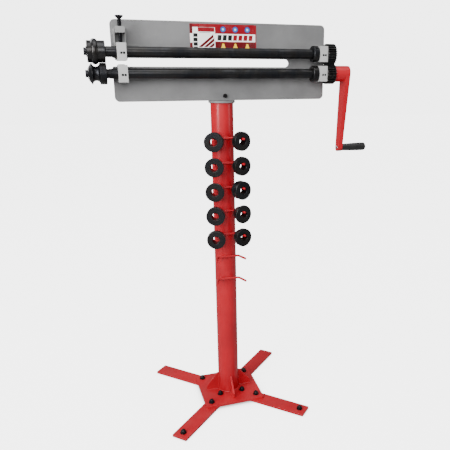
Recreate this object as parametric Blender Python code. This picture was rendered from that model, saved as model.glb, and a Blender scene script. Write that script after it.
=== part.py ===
"""Hand-cranked bead roller on a floor stand, at its real size in metres.

X runs along the two shafts towards the crank, Y from the operator's side to the back, Z is up.
Every piece is placed in the stand's own frame, on the floor under the column's axis. The empty
"machine" carries them all, and puts the middle of the whole outline over the origin.
"""

from math import acos, cos, pi, radians, sin, tan

import bmesh
import bpy
from mathutils import Vector

# Clearances
TOUCH_GAP = 0.0003  # between two faces that rest on each other
RUNNING_GAP = 0.0004  # radial, between a shaft and the bearing that it turns in
SLIDE_GAP = 0.0005  # beside a piece that slides

# Frame plate, with the long throat that the sheet goes into
PLATE_LENGTH = 0.558
PLATE_HEIGHT = 0.193
PLATE_THICK = 0.008
PLATE_CORNER_RADIUS = 0.012
COLUMN_TO_PLATE_LEFT = 0.270
PLATE_BOTTOM_Z = 0.8675
THROAT_DEPTH = 0.457
THROAT_HEIGHT = 0.020
THROAT_MOUTH_RADIUS = 0.004
THROAT_ABOVE_DIES = 0.002

# Shafts
DIE_PLANE_ABOVE_PLATE_BOTTOM = 0.0925
SHAFT_SPACING = 0.050
SHAFT_RADIUS = 0.0125
GEAR_TO_PLATE = 0.003
SHAFT_CHAMFER = 0.0012
GEAR_SEAT_RADIUS = 0.010
NECK_RADIUS = 0.0108
NECK_LENGTH = 0.005
NECK_TAPER_LENGTH = 0.011

# Bearing blocks
BLOCK_WIDTH = 0.022
BLOCK_HEIGHT = 0.040
BLOCK_AHEAD_OF_SHAFT = 0.020
BLOCK_INSET = 0.021
BLOCK_BEVEL = 0.002
BUSH_WALL = 0.0025

# Dies on the shafts
DIE_WIDTH = 0.041
DIE_TO_PLATE = 0.016
DIE_BORE_RADIUS = 0.010
DIE_SHEET_GAP = 0.0004
DIE_CHAMFER = 0.0008
BEAD_CENTRE = 0.017
BEAD_HALF_WIDTH = 0.007
BEAD_HEIGHT = 0.0044
GROOVE_RADIUS = 0.0085
FLANGE_NOSE_RADIUS = 0.015
FLANGE_NOSE_WIDTH = 0.007

# Die bolts
DIE_BOLT_RADIUS = 0.005
DIE_BOLT_LENGTH = 0.020
DIE_BOLT_FLATS = 0.017
DIE_BOLT_HEAD = 0.0055
DIE_WASHER_RADIUS = 0.012
DIE_WASHER_THICK = 0.0015

# Collars and gears
COLLAR_RADIUS = 0.021
COLLAR_WIDTH = 0.016
COLLAR_CHAMFER = 0.0015
GEAR_TEETH = 25
GEAR_TIP_ABOVE_PITCH = 1.0  # as a share of the module
GEAR_ROOT_BELOW_PITCH = 1.3
GEAR_WIDTH = 0.0245
GEAR_BACKLASH = 0.0005
PRESSURE_ANGLE = radians(20)

# Adjusting screw and its guide
SCREW_RADIUS = 0.005
SCREW_TIP_RADIUS = 0.004
SCREW_TIP_LENGTH = 0.006
SCREW_ABOVE_PLATE = 0.006
SCREW_HEAD_RADIUS = 0.0095
SCREW_HEAD_HEIGHT = 0.007
SCREW_SOCKET_RADIUS = 0.0035
SCREW_SOCKET_DEPTH = 0.005
NUT_BLOCK_HEIGHT = 0.014
NUT_BLOCK_BELOW_PLATE_TOP = 0.019
RAIL_THICK = 0.003
RAIL_DEPTH = 0.014

# Crank
CRANK_THROW = 0.200
HUB_RADIUS = 0.021
HUB_LENGTH = 0.0415
ARM_THICK = 0.012
ARM_HUB_RADIUS = 0.0208
ARM_END_RADIUS = 0.0105
ARM_LEAN = 0.012
GRIP_LENGTH = 0.075
GRIP_INNER_RADIUS = 0.009
GRIP_OUTER_RADIUS = 0.011
PIN_RADIUS = 0.0042
PIN_HEAD_RADIUS = 0.006
PIN_HEAD_LENGTH = 0.004

# Foot of the frame, on top of the column
FOOT_RADIUS = 0.035
FOOT_THICK = 0.005
LUG_WIDTH = 0.034
LUG_HEIGHT = 0.030
LUG_THICK = 0.008
FRAME_BOLT_RIGHT_OF_COLUMN = 0.008
FRAME_BOLT_HEIGHT = 0.012
FRAME_BOLT_RADIUS = 0.004
FRAME_BOLT_FLATS = 0.010
FRAME_BOLT_HEAD = 0.005

# Column, hooks and spare dies
COLUMN_RADIUS = 0.030
COLUMN_WALL = 0.003
HOOK_ROWS = 7
HOOK_TOP_BELOW_FOOT = 0.0902
HOOK_PITCH = 0.0655
HOOK_ROD_RADIUS = 0.003
HOOK_HALF_WIDTH = 0.029
HOOK_PRONG_LENGTH = 0.036
HOOK_SPLAY = radians(20)
HOOK_BEND_RADIUS = 0.007
SPARE_ROWS = 5
SPARE_ALONG_PRONG = 0.018
SPARE_WIDTH = 0.025
SPARE_RADIUS = 0.025

# Base
LEG_THICK = 0.006
LEG_WIDTH = 0.045
LEG_REACH = 0.257
LEG_INNER = 0.024
BASE_HALF_WIDTH = 0.086
BASE_CORNER_CUT = 0.004
BASE_THICK = 0.007
GUSSET_REACH = 0.037
GUSSET_HEIGHT = 0.053
GUSSET_THICK = 0.005
GUSSET_NOSE = 0.014
GUSSET_TOP = 0.004
OUTER_BOLT_REACH = 0.095
INNER_BOLT_REACH = 0.047
END_BOLT_FROM_TIP = 0.020
STAND_BOLT_RADIUS = 0.004
STAND_BOLT_FLATS = 0.013
STAND_BOLT_HEAD = 0.0095
STAND_WASHER_RADIUS = 0.0085
STAND_WASHER_THICK = 0.0015
STAND_BOLT_END_Z = 0.001

# Facets round a full turn
FINE = 30
ROUND = 24
COARSE = 18
HEX_FACETS = 12

# Places that follow from the sizes above
PLATE_FRONT_Y = -PLATE_THICK / 2
PLATE_TOP_Z = PLATE_BOTTOM_Z + PLATE_HEIGHT
PLATE_LEFT_X = -COLUMN_TO_PLATE_LEFT
PLATE_RIGHT_X = PLATE_LEFT_X + PLATE_LENGTH
DIE_PLANE_Z = PLATE_BOTTOM_Z + DIE_PLANE_ABOVE_PLATE_BOTTOM
UPPER_Z = DIE_PLANE_Z + SHAFT_SPACING / 2
LOWER_Z = DIE_PLANE_Z - SHAFT_SPACING / 2
GEAR_MODULE = SHAFT_SPACING / GEAR_TEETH
GEAR_TIP_RADIUS = SHAFT_SPACING / 2 + GEAR_TIP_ABOVE_PITCH * GEAR_MODULE
GEAR_ROOT_RADIUS = SHAFT_SPACING / 2 - GEAR_ROOT_BELOW_PITCH * GEAR_MODULE
SHAFT_Y = PLATE_FRONT_Y - GEAR_TO_PLATE - GEAR_TIP_RADIUS
LEFT_BLOCK_X = PLATE_LEFT_X + BLOCK_INSET
RIGHT_BLOCK_X = PLATE_RIGHT_X - BLOCK_INSET
DIE_RIGHT_X = PLATE_LEFT_X - DIE_TO_PLATE
DIE_LEFT_X = DIE_RIGHT_X - DIE_WIDTH
DIE_RADIUS = (SHAFT_SPACING - DIE_SHEET_GAP) / 2
DIE_SEAT_RADIUS = DIE_BORE_RADIUS - TOUCH_GAP
GEAR_LEFT_X = RIGHT_BLOCK_X + BLOCK_WIDTH / 2 + SLIDE_GAP
GEAR_RIGHT_X = GEAR_LEFT_X + GEAR_WIDTH
HUB_LEFT_X = GEAR_RIGHT_X + SLIDE_GAP
HUB_RIGHT_X = HUB_LEFT_X + HUB_LENGTH
GRIP_Z = LOWER_Z - CRANK_THROW
GRIP_LEFT_X = HUB_RIGHT_X - ARM_LEAN + SLIDE_GAP
GRIP_RIGHT_X = GRIP_LEFT_X + GRIP_LENGTH
BOLT_LEFT_X = DIE_LEFT_X - TOUCH_GAP - DIE_WASHER_THICK - DIE_BOLT_HEAD
MACHINE_X = -(BOLT_LEFT_X + GRIP_RIGHT_X) / 2
BASE_BOTTOM_Z = LEG_THICK + TOUCH_GAP
BASE_TOP_Z = BASE_BOTTOM_Z + BASE_THICK
FOOT_TOP_Z = PLATE_BOTTOM_Z - TOUCH_GAP
FOOT_BOTTOM_Z = FOOT_TOP_Z - FOOT_THICK
HOOK_TOP_Z = FOOT_BOTTOM_Z - HOOK_TOP_BELOW_FOOT
ALONG_X = (0, pi / 2, 0)  # turns a piece's own Z axis onto X
FACING_FRONT = (pi / 2, 0, 0)  # stands a flat outline up, with its thickness towards the front


def clear_scene():
    for item in list(bpy.data.objects):
        bpy.data.objects.remove(item, do_unlink=True)


def paint(name, colour, roughness, metallic=0.0):
    look = bpy.data.materials.new(name)
    look.use_nodes = True
    shader = look.node_tree.nodes["Principled BSDF"]
    shader.inputs["Base Color"].default_value = (*colour, 1)
    shader.inputs["Roughness"].default_value = roughness
    shader.inputs["Metallic"].default_value = metallic
    return look


def add(name, data, look, at=(0, 0, 0), turn=(0, 0, 0)):
    """A piece, placed in the stand's frame."""
    piece = bpy.data.objects.new(name, data)
    bpy.context.scene.collection.objects.link(piece)
    if not data.materials:
        data.materials.append(look)
    piece.parent = machine
    piece.location = at
    piece.rotation_euler = turn
    return piece


def finish_mesh(name, shape, smooth=True):
    bmesh.ops.recalc_face_normals(shape, faces=shape.faces)
    data = bpy.data.meshes.new(name)
    shape.to_mesh(data)
    shape.free()
    if smooth:
        data.shade_smooth()
        data.set_sharp_from_angle(angle=radians(32))
    return data


def skin(name, rings, closed_loop=False):
    """Joins rings of points into one closed shell. A ring of one point closes an end."""
    shape = bmesh.new()
    made = [[shape.verts.new(point) for point in ring] for ring in rings]
    pairs = list(zip(made, made[1:]))
    if closed_loop:
        pairs.append((made[-1], made[0]))
    for first, second in pairs:
        count = max(len(first), len(second))
        for k in range(count):
            corners = [first[k % len(first)], first[(k + 1) % len(first)]]
            corners += [second[(k + 1) % len(second)], second[k % len(second)]]
            shape.faces.new(list(dict.fromkeys(corners)))
    return finish_mesh(name, shape)


def circle(radius, facets, height=0.0, phase=0.0):
    steps = [phase + 2 * pi * k / facets for k in range(facets)]
    return [(radius * cos(a), radius * sin(a), height) for a in steps]


def turned(name, profile, facets=ROUND):
    """A turned piece about its own Z, from (height, radius) points. A bored one closes on itself."""
    bored = all(radius > 0 for _, radius in profile)
    rings = [circle(r, facets, h) if r > 0 else [(0, 0, h)] for h, r in profile]
    return skin(name, rings, closed_loop=bored)


def hexagon(flats, facets=HEX_FACETS, height=0.0):
    """A hexagon's corners and the points between them, as a ring that meets a round one."""
    half = flats / 2
    ring = []
    for k in range(facets):
        angle = 2 * pi * k / facets
        off_flat = (angle + pi / 6) % (pi / 3) - pi / 6
        reach = half / cos(off_flat)
        ring.append((reach * cos(angle), reach * sin(angle), height))
    return ring


def prism(name, outline, depth, smooth=True):
    """A flat outline given a depth along its own Z."""
    shape = bmesh.new()
    face = shape.faces.new([shape.verts.new((x, y, 0)) for x, y in outline])
    raised = bmesh.ops.extrude_face_region(shape, geom=[face])["geom"]
    moved = [v for v in raised if isinstance(v, bmesh.types.BMVert)]
    bmesh.ops.translate(shape, verts=moved, vec=(0, 0, depth))
    return finish_mesh(name, shape, smooth)


def box(name, low, high):
    """A plain block between two corners, as a mesh round its own middle, and that middle."""
    low, high = Vector(low), Vector(high)
    shape = bmesh.new()
    bmesh.ops.create_cube(shape, size=1)
    bmesh.ops.scale(shape, verts=shape.verts, vec=high - low)
    return finish_mesh(name, shape, smooth=False), (low + high) / 2


def bend(back, corner, ahead, radius, steps):
    """The points of an arc that turns a corner between two other points."""
    corner = Vector(corner)
    back = (Vector(back) - corner).normalized()
    ahead = (Vector(ahead) - corner).normalized()
    half = back.angle(ahead) / 2
    centre = corner + (back + ahead).normalized() * radius / sin(half)
    start = corner + back * radius / tan(half) - centre
    sweep = -start.angle_signed(corner + ahead * radius / tan(half) - centre)
    arc = []
    for step in range(steps + 1):
        a = sweep * step / steps
        arc.append((
            centre.x + start.x * cos(a) - start.y * sin(a),
            centre.y + start.x * sin(a) + start.y * cos(a),
        ))
    return arc


def rounded(corners, steps=5):
    """An outline from (x, y, radius) corners, each turned on an arc of its radius."""
    outline = []
    for k, (x, y, radius) in enumerate(corners):
        if radius == 0:
            outline.append((x, y))
        else:
            ahead = corners[(k + 1) % len(corners)]
            outline += bend(corners[k - 1][:2], (x, y), ahead[:2], radius, steps)
    return outline


def use(piece, other, operation):
    step = piece.modifiers.new(operation.lower(), "BOOLEAN")
    step.operation = operation
    step.solver = "EXACT"
    step.object = other
    other.hide_render = True
    other.display_type = "WIRE"


def drill(piece, name, radius, length, at, turn=(0, 0, 0), facets=COARSE):
    """Cuts a round hole, centred on a point."""
    profile = [(-length / 2, 0), (-length / 2, radius), (length / 2, radius), (length / 2, 0)]
    use(piece, add(name, turned(name, profile, facets), STEEL, at, turn), "DIFFERENCE")


def ease_edges(piece, width, segments=2):
    bevel = piece.modifiers.new("eased_edges", "BEVEL")
    bevel.width = width
    bevel.segments = segments
    bevel.limit_method = "ANGLE"
    bevel.angle_limit = radians(40)


# Base ------------------------------------------------------------------------------------------


def diagonal(reach, quarter):
    angle = pi / 4 + quarter * pi / 2
    return reach * cos(angle), reach * sin(angle), angle


def stand_bolt(name, x, y, seat_z):
    """A hexagon bolt with its washer, head up on its seat, that ends just above the floor."""
    shank = seat_z + TOUCH_GAP - STAND_BOLT_END_Z
    washer = STAND_WASHER_THICK
    top = washer + STAND_BOLT_HEAD
    rings = [
        [(0, 0, -shank)],
        circle(STAND_BOLT_RADIUS, HEX_FACETS, -shank),
        circle(STAND_BOLT_RADIUS, HEX_FACETS, 0),
        circle(STAND_WASHER_RADIUS, HEX_FACETS, 0),
        circle(STAND_WASHER_RADIUS, HEX_FACETS, washer),
        hexagon(STAND_BOLT_FLATS, height=washer),
        hexagon(STAND_BOLT_FLATS, height=top),
        [(0, 0, top)],
    ]
    add(name, skin(name, rings), BLACK_STEEL, (x, y, seat_z + TOUCH_GAP))


def make_base():
    half, cut = BASE_HALF_WIDTH, BASE_CORNER_CUT
    side = half - cut
    octagon = [(half, -side), (half, side), (side, half), (-side, half)]
    octagon += [(-x, -y) for x, y in octagon]
    plate = add("base_plate", prism("base_plate", octagon, BASE_THICK, False), RED, (0, 0, BASE_BOTTOM_Z))
    hole = STAND_BOLT_RADIUS + TOUCH_GAP
    corners = ("right_rear", "left_rear", "left_front", "right_front")
    for quarter, corner in enumerate(corners):
        name = f"leg_{corner}"
        length = LEG_REACH - LEG_INNER
        outline = rounded([
            (0, -LEG_WIDTH / 2, 0),
            (length, -LEG_WIDTH / 2, 0.002),
            (length, LEG_WIDTH / 2, 0.002),
            (0, LEG_WIDTH / 2, 0),
        ], steps=2)
        x, y, angle = diagonal(LEG_INNER, quarter)
        leg = add(name, prism(name, outline, LEG_THICK, False), RED, (x, y, 0), (0, 0, angle))
        for place, reach in (("outer", OUTER_BOLT_REACH), ("inner", INNER_BOLT_REACH)):
            x, y, _ = diagonal(reach, quarter)
            for piece, z in ((plate, BASE_BOTTOM_Z + BASE_THICK / 2), (leg, LEG_THICK / 2)):
                cutter = f"cut_{place}_{corner}_{piece.name[:4]}"
                drill(piece, cutter, hole, 0.030, (x, y, z), facets=HEX_FACETS)
            stand_bolt(f"{place}_bolt_{corner}", x, y, BASE_TOP_Z)
        if corner.endswith("front"):
            x, y, _ = diagonal(LEG_REACH - END_BOLT_FROM_TIP, quarter)
            drill(leg, f"cut_end_{corner}", hole, 0.030, (x, y, LEG_THICK / 2), facets=HEX_FACETS)
            stand_bolt(f"end_bolt_{corner}", x, y, LEG_THICK)


def make_gussets():
    inner = COLUMN_RADIUS + TOUCH_GAP
    outline = [
        (inner, 0),
        (inner + GUSSET_REACH, 0),
        (inner + GUSSET_REACH, GUSSET_NOSE),
        (inner + GUSSET_TOP, GUSSET_HEIGHT),
        (inner, GUSSET_HEIGHT),
    ]
    for quarter, side in enumerate(("right", "rear", "left", "front")):
        name = f"gusset_{side}"
        angle = quarter * pi / 2
        across = Vector((-sin(angle), cos(angle), 0)) * GUSSET_THICK / 2
        at = across + Vector((0, 0, BASE_TOP_Z + TOUCH_GAP))
        add(name, prism(name, outline, GUSSET_THICK, False), RED, at, (pi / 2, 0, angle))


# Column, its hooks and the spare dies ------------------------------------------------------------


def make_column():
    low, high = BASE_TOP_Z + TOUCH_GAP, FOOT_BOTTOM_Z - TOUCH_GAP
    inner = COLUMN_RADIUS - COLUMN_WALL
    profile = [(low, inner), (low, COLUMN_RADIUS), (high, COLUMN_RADIUS), (high, inner)]
    add("column", turned("column", profile, FINE), RED)


def hook_front_y():
    return -COLUMN_RADIUS - HOOK_ROD_RADIUS - TOUCH_GAP


def make_hook(row):
    """A rod welded across the column, with both ends bent forward into prongs."""
    name = f"die_hook_{row + 1}"
    half, reach = HOOK_HALF_WIDTH, HOOK_PRONG_LENGTH
    tip = (half + reach * sin(HOOK_SPLAY), -reach * cos(HOOK_SPLAY))
    right = [tip, *bend(tip, (half, 0), (0, 0), HOOK_BEND_RADIUS, 4)]
    points = right + [(-x, y) for x, y in reversed(right)]
    route = bpy.data.curves.new(name, "CURVE")
    route.dimensions = "3D"
    route.bevel_depth = HOOK_ROD_RADIUS
    route.bevel_resolution = 2
    route.use_fill_caps = True
    line = route.splines.new("POLY")
    line.points.add(len(points) - 1)
    for point, (x, y) in zip(line.points, points):
        point.co = (x, y, 0, 1)
    add(name, route, RED, (0, hook_front_y(), HOOK_TOP_Z - row * HOOK_PITCH))


def spare_profiles():
    """One profile per row, as (height, radius) from the back face to the front one."""
    width, full, bore = SPARE_WIDTH, SPARE_RADIUS, DIE_BORE_RADIUS
    hub = full * 0.72
    step = 0.001
    front = [(width - step, full), (width, full - step), (width, bore)]
    plain = [(0, bore), (0, hub - step), (step, hub), (width * 0.45, hub), (width * 0.45, full), *front]
    bead = [(0, bore), (0, hub), (width * 0.3, hub), (width * 0.4, full * 0.94), (width * 0.5, full), *front]
    groove = [(0, bore), (0, full * 0.9), (width * 0.25, full), (width * 0.35, full * 0.8),
              (width * 0.55, full * 0.8), (width * 0.65, full), *front]
    taper = [(0, bore), (0, hub), (width * 0.2, hub), (width * 0.75, full), *front]
    step_roll = [(0, bore), (0, hub), (width * 0.5, hub), (width * 0.5, full * 0.97), *front]
    return plain, bead, groove, taper, step_roll


def make_spare_dies():
    bore_reach = DIE_BORE_RADIUS * cos(pi / COARSE)
    drop = bore_reach - HOOK_ROD_RADIUS - TOUCH_GAP
    for row in range(SPARE_ROWS):
        profiles = spare_profiles()
        for side, sign in (("left", -1), ("right", 1)):
            name = f"spare_die_{side}_{row + 1}"
            profile = profiles[row] if side == "right" else profiles[(row + 2) % len(profiles)]
            along = Vector((sign * sin(HOOK_SPLAY), -cos(HOOK_SPLAY), 0))
            bend = Vector((sign * HOOK_HALF_WIDTH, hook_front_y(), HOOK_TOP_Z - row * HOOK_PITCH))
            middle = bend + along * SPARE_ALONG_PRONG - Vector((0, 0, drop))
            at = middle - along * SPARE_WIDTH / 2
            turn = (pi / 2, 0, sign * HOOK_SPLAY)
            add(name, turned(name, profile, COARSE), BLACK_STEEL, at, turn)


# Frame plate and its foot ------------------------------------------------------------------------


def make_frame_plate():
    low = DIE_PLANE_Z + THROAT_ABOVE_DIES - THROAT_HEIGHT / 2
    high = low + THROAT_HEIGHT
    end = PLATE_LEFT_X + THROAT_DEPTH
    throat_end = THROAT_HEIGHT / 2 - 0.0002
    corners = [
        (PLATE_LEFT_X, PLATE_BOTTOM_Z, PLATE_CORNER_RADIUS),
        (PLATE_RIGHT_X, PLATE_BOTTOM_Z, PLATE_CORNER_RADIUS),
        (PLATE_RIGHT_X, PLATE_TOP_Z, PLATE_CORNER_RADIUS),
        (PLATE_LEFT_X, PLATE_TOP_Z, PLATE_CORNER_RADIUS),
        (PLATE_LEFT_X, high, THROAT_MOUTH_RADIUS),
        (end, high, throat_end),
        (end, low, throat_end),
        (PLATE_LEFT_X, low, THROAT_MOUTH_RADIUS),
    ]
    name = "frame_plate"
    outline = rounded(corners, steps=6)
    plate = add(name, prism(name, outline, PLATE_THICK, False), GREY, (0, -PLATE_FRONT_Y, 0), FACING_FRONT)
    at = (FRAME_BOLT_RIGHT_OF_COLUMN, 0, PLATE_BOTTOM_Z + FRAME_BOLT_HEIGHT)
    drill(plate, "cut_plate_bolt", FRAME_BOLT_RADIUS + TOUCH_GAP, 0.030, at, FACING_FRONT, HEX_FACETS)


def make_frame_foot():
    """A round foot on the column's end, with a lug behind the plate."""
    name = "frame_foot"
    profile = [(0, 0), (0, FOOT_RADIUS), (FOOT_THICK, FOOT_RADIUS), (FOOT_THICK, 0)]
    foot = add(name, turned(name, profile, FINE), GREY, (0, 0, FOOT_BOTTOM_Z))
    near = PLATE_THICK / 2 + TOUCH_GAP
    low = (-LUG_WIDTH / 2, near, FOOT_BOTTOM_Z + FOOT_THICK / 2)
    high = (LUG_WIDTH / 2, near + LUG_THICK, FOOT_TOP_Z + LUG_HEIGHT)
    data, at = box("lug", low, high)
    use(foot, add("lug", data, GREY, at), "UNION")
    at = (FRAME_BOLT_RIGHT_OF_COLUMN, 0, PLATE_BOTTOM_Z + FRAME_BOLT_HEIGHT)
    drill(foot, "cut_foot_bolt", FRAME_BOLT_RADIUS + TOUCH_GAP, 0.050, at, FACING_FRONT, HEX_FACETS)


def make_frame_bolt():
    """The bolt and nut that hold the plate to the lug."""
    front = PLATE_THICK / 2 + TOUCH_GAP
    rear = PLATE_THICK / 2 + TOUCH_GAP + LUG_THICK + TOUCH_GAP
    rings = [
        [(0, 0, -rear - FRAME_BOLT_HEAD)],
        hexagon(FRAME_BOLT_FLATS, height=-rear - FRAME_BOLT_HEAD),
        hexagon(FRAME_BOLT_FLATS, height=-rear),
        circle(FRAME_BOLT_RADIUS, HEX_FACETS, -rear),
        circle(FRAME_BOLT_RADIUS, HEX_FACETS, front),
        hexagon(FRAME_BOLT_FLATS, height=front),
        hexagon(FRAME_BOLT_FLATS, height=front + FRAME_BOLT_HEAD),
        [(0, 0, front + FRAME_BOLT_HEAD)],
    ]
    at = (FRAME_BOLT_RIGHT_OF_COLUMN, 0, PLATE_BOTTOM_Z + FRAME_BOLT_HEIGHT)
    add("frame_bolt", skin("frame_bolt", rings), BLACK_STEEL, at, FACING_FRONT)


# Bearings and the screw that presses the upper shaft down ------------------------------------------


def make_block(name, x, z, bore, behind):
    low = (x - BLOCK_WIDTH / 2, SHAFT_Y - BLOCK_AHEAD_OF_SHAFT, z - BLOCK_HEIGHT / 2)
    high = (x + BLOCK_WIDTH / 2, PLATE_FRONT_Y - behind, z + BLOCK_HEIGHT / 2)
    data, at = box(name, low, high)
    block = add(name, data, PALE_GREY, at)
    ease_edges(block, BLOCK_BEVEL)
    drill(block, f"cut_{name}", bore, BLOCK_WIDTH * 2, (x, SHAFT_Y, z), ALONG_X, ROUND)
    return block


def make_bearings():
    running = SHAFT_RADIUS + RUNNING_GAP
    bush_outside = running + BUSH_WALL
    make_block("bearing_upper_right", RIGHT_BLOCK_X, UPPER_Z, running, TOUCH_GAP)
    make_block("bearing_lower_right", RIGHT_BLOCK_X, LOWER_Z, running, TOUCH_GAP)
    make_block("bearing_lower_left", LEFT_BLOCK_X, LOWER_Z, running, TOUCH_GAP)
    sliding = make_block("sliding_bearing", LEFT_BLOCK_X, UPPER_Z, bush_outside + RUNNING_GAP, SLIDE_GAP)
    top = (LEFT_BLOCK_X, SHAFT_Y, UPPER_Z + BLOCK_HEIGHT / 2)
    drill(sliding, "cut_screw_seat", SCREW_TIP_RADIUS + TOUCH_GAP, SCREW_TIP_LENGTH, top)
    half = BLOCK_WIDTH / 2
    profile = [(-half, running), (-half, bush_outside), (half, bush_outside), (half, running)]
    at = (LEFT_BLOCK_X, SHAFT_Y, UPPER_Z)
    add("upper_bush", turned("upper_bush", profile), BRONZE, at, ALONG_X)


def make_screw_guide():
    """The block that the screw is threaded through, with a rail down each side of the sliding bearing."""
    nut_high = PLATE_TOP_Z - NUT_BLOCK_BELOW_PLATE_TOP
    nut_low = nut_high - NUT_BLOCK_HEIGHT
    behind = PLATE_FRONT_Y - TOUCH_GAP
    data, at = box(
        "screw_guide",
        (LEFT_BLOCK_X - BLOCK_WIDTH / 2, SHAFT_Y - BLOCK_WIDTH / 2, nut_low),
        (LEFT_BLOCK_X + BLOCK_WIDTH / 2, behind, nut_high),
    )
    guide = add("screw_guide", data, PALE_GREY, at)
    ease_edges(guide, BLOCK_BEVEL / 2)
    for side, sign in (("left", -1), ("right", 1)):
        near = LEFT_BLOCK_X + sign * (BLOCK_WIDTH / 2 + SLIDE_GAP)
        far = near + sign * RAIL_THICK
        lap = LEFT_BLOCK_X + sign * (BLOCK_WIDTH / 2 - BLOCK_BEVEL)
        rail, at = box(
            f"rail_{side}",
            (min(near, far), behind - RAIL_DEPTH, UPPER_Z - BLOCK_HEIGHT / 2 + BLOCK_BEVEL),
            (max(near, far), behind, nut_low + NUT_BLOCK_HEIGHT * 3 / 4),
        )
        use(guide, add(f"rail_{side}", rail, PALE_GREY, at), "UNION")
        tie, at = box(
            f"rail_tie_{side}",
            (min(lap, far), behind - RAIL_DEPTH * 0.9, nut_low + NUT_BLOCK_HEIGHT / 4),
            (max(lap, far), behind - RAIL_DEPTH * 0.1, nut_low + NUT_BLOCK_HEIGHT * 5 / 8),
        )
        use(guide, add(f"rail_tie_{side}", tie, PALE_GREY, at), "UNION")
    at = (LEFT_BLOCK_X, SHAFT_Y, (nut_low + nut_high) / 2)
    drill(guide, "cut_screw_thread", SCREW_RADIUS + TOUCH_GAP, NUT_BLOCK_HEIGHT * 2, at)


def make_adjusting_screw():
    seat = UPPER_Z + BLOCK_HEIGHT / 2
    tip = seat - SCREW_TIP_LENGTH / 2 + TOUCH_GAP
    head_top = PLATE_TOP_Z + SCREW_ABOVE_PLATE
    head_low = head_top - SCREW_HEAD_HEIGHT
    socket = head_top - SCREW_SOCKET_DEPTH
    rings = [
        [(0, 0, tip)],
        circle(SCREW_TIP_RADIUS, COARSE, tip),
        circle(SCREW_TIP_RADIUS, COARSE, seat + TOUCH_GAP),
        circle(SCREW_RADIUS, COARSE, seat + TOUCH_GAP),
        circle(SCREW_RADIUS, COARSE, head_low),
        circle(SCREW_HEAD_RADIUS, COARSE, head_low + SCREW_HEAD_HEIGHT * 0.55),
        circle(SCREW_HEAD_RADIUS, COARSE, head_top),
        hexagon(2 * SCREW_SOCKET_RADIUS, COARSE, head_top),
        hexagon(2 * SCREW_SOCKET_RADIUS, COARSE, socket),
        [(0, 0, socket)],
    ]
    add("adjusting_screw", skin("adjusting_screw", rings), BLACK_STEEL, (LEFT_BLOCK_X, SHAFT_Y, 0))


# Shafts, dies, collars, gears --------------------------------------------------------------------


def shaft_profile(neck, right_end):
    """The shaft from its tapped left end to its right end, as (X, radius) points."""
    left = DIE_LEFT_X + 2 * TOUCH_GAP
    hole = DIE_BOLT_RADIUS + TOUCH_GAP
    shoulder = DIE_RIGHT_X + TOUCH_GAP
    seat_end = GEAR_LEFT_X - TOUCH_GAP
    profile = [
        (left + DIE_BOLT_LENGTH, 0),
        (left + DIE_BOLT_LENGTH, hole),
        (left, hole),
        (left, DIE_SEAT_RADIUS),
        (shoulder, DIE_SEAT_RADIUS),
    ]
    if neck:
        profile += [
            (shoulder, NECK_RADIUS),
            (shoulder + NECK_LENGTH, NECK_RADIUS),
            (shoulder + NECK_LENGTH + NECK_TAPER_LENGTH, SHAFT_RADIUS),
        ]
    else:
        profile += [(shoulder, SHAFT_RADIUS - SHAFT_CHAMFER), (shoulder + SHAFT_CHAMFER, SHAFT_RADIUS)]
    profile += [
        (seat_end, SHAFT_RADIUS),
        (seat_end, GEAR_SEAT_RADIUS),
        (right_end - SHAFT_CHAMFER, GEAR_SEAT_RADIUS),
        (right_end, GEAR_SEAT_RADIUS - SHAFT_CHAMFER),
        (right_end, 0),
    ]
    return profile


def die_profile(nose, half_width, height):
    """A roll's profile with a round bead, or a round groove where the height is below 0."""
    profile = [(0, DIE_BORE_RADIUS), *nose, (BEAD_CENTRE - half_width, DIE_RADIUS)]
    steps = 6
    for k in range(1, steps):
        a = pi * k / steps
        profile.append((BEAD_CENTRE - half_width * cos(a), DIE_RADIUS + height * sin(a)))
    profile += [(BEAD_CENTRE + half_width, DIE_RADIUS), (DIE_WIDTH - DIE_CHAMFER, DIE_RADIUS)]
    return profile + [(DIE_WIDTH, DIE_RADIUS - DIE_CHAMFER), (DIE_WIDTH, DIE_BORE_RADIUS)]


def male_die_profile():
    nose = [(0, DIE_RADIUS - DIE_CHAMFER), (DIE_CHAMFER, DIE_RADIUS)]
    return die_profile(nose, BEAD_HALF_WIDTH, BEAD_HEIGHT)


def female_die_profile():
    """The groove leaves a thin flange at the left, with a sloping nose."""
    nose = [(0, FLANGE_NOSE_RADIUS), (FLANGE_NOSE_WIDTH, DIE_RADIUS)]
    return die_profile(nose, GROOVE_RADIUS, -GROOVE_RADIUS)


def gear_outline():
    """A spur gear's outline, with involute flanks and some backlash, and a tooth towards -X."""
    pitch = SHAFT_SPACING / 2
    base = pitch * cos(PRESSURE_ANGLE)

    def involute(radius):
        angle = acos(min(1.0, base / radius))
        return tan(angle) - angle

    half_at_pitch = pi / (2 * GEAR_TEETH) - GEAR_BACKLASH / (4 * pitch)
    flank = []
    for radius in (GEAR_ROOT_RADIUS, base, pitch, GEAR_TIP_RADIUS):
        half = half_at_pitch + involute(pitch) - involute(max(radius, base))
        flank.append((radius, half))
    outline = []
    for tooth in range(GEAR_TEETH):
        middle = pi + 2 * pi * tooth / GEAR_TEETH
        sides = [(r, middle - h) for r, h in flank] + [(r, middle + h) for r, h in reversed(flank)]
        outline += [(r * cos(a), r * sin(a)) for r, a in sides]
    return outline


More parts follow.
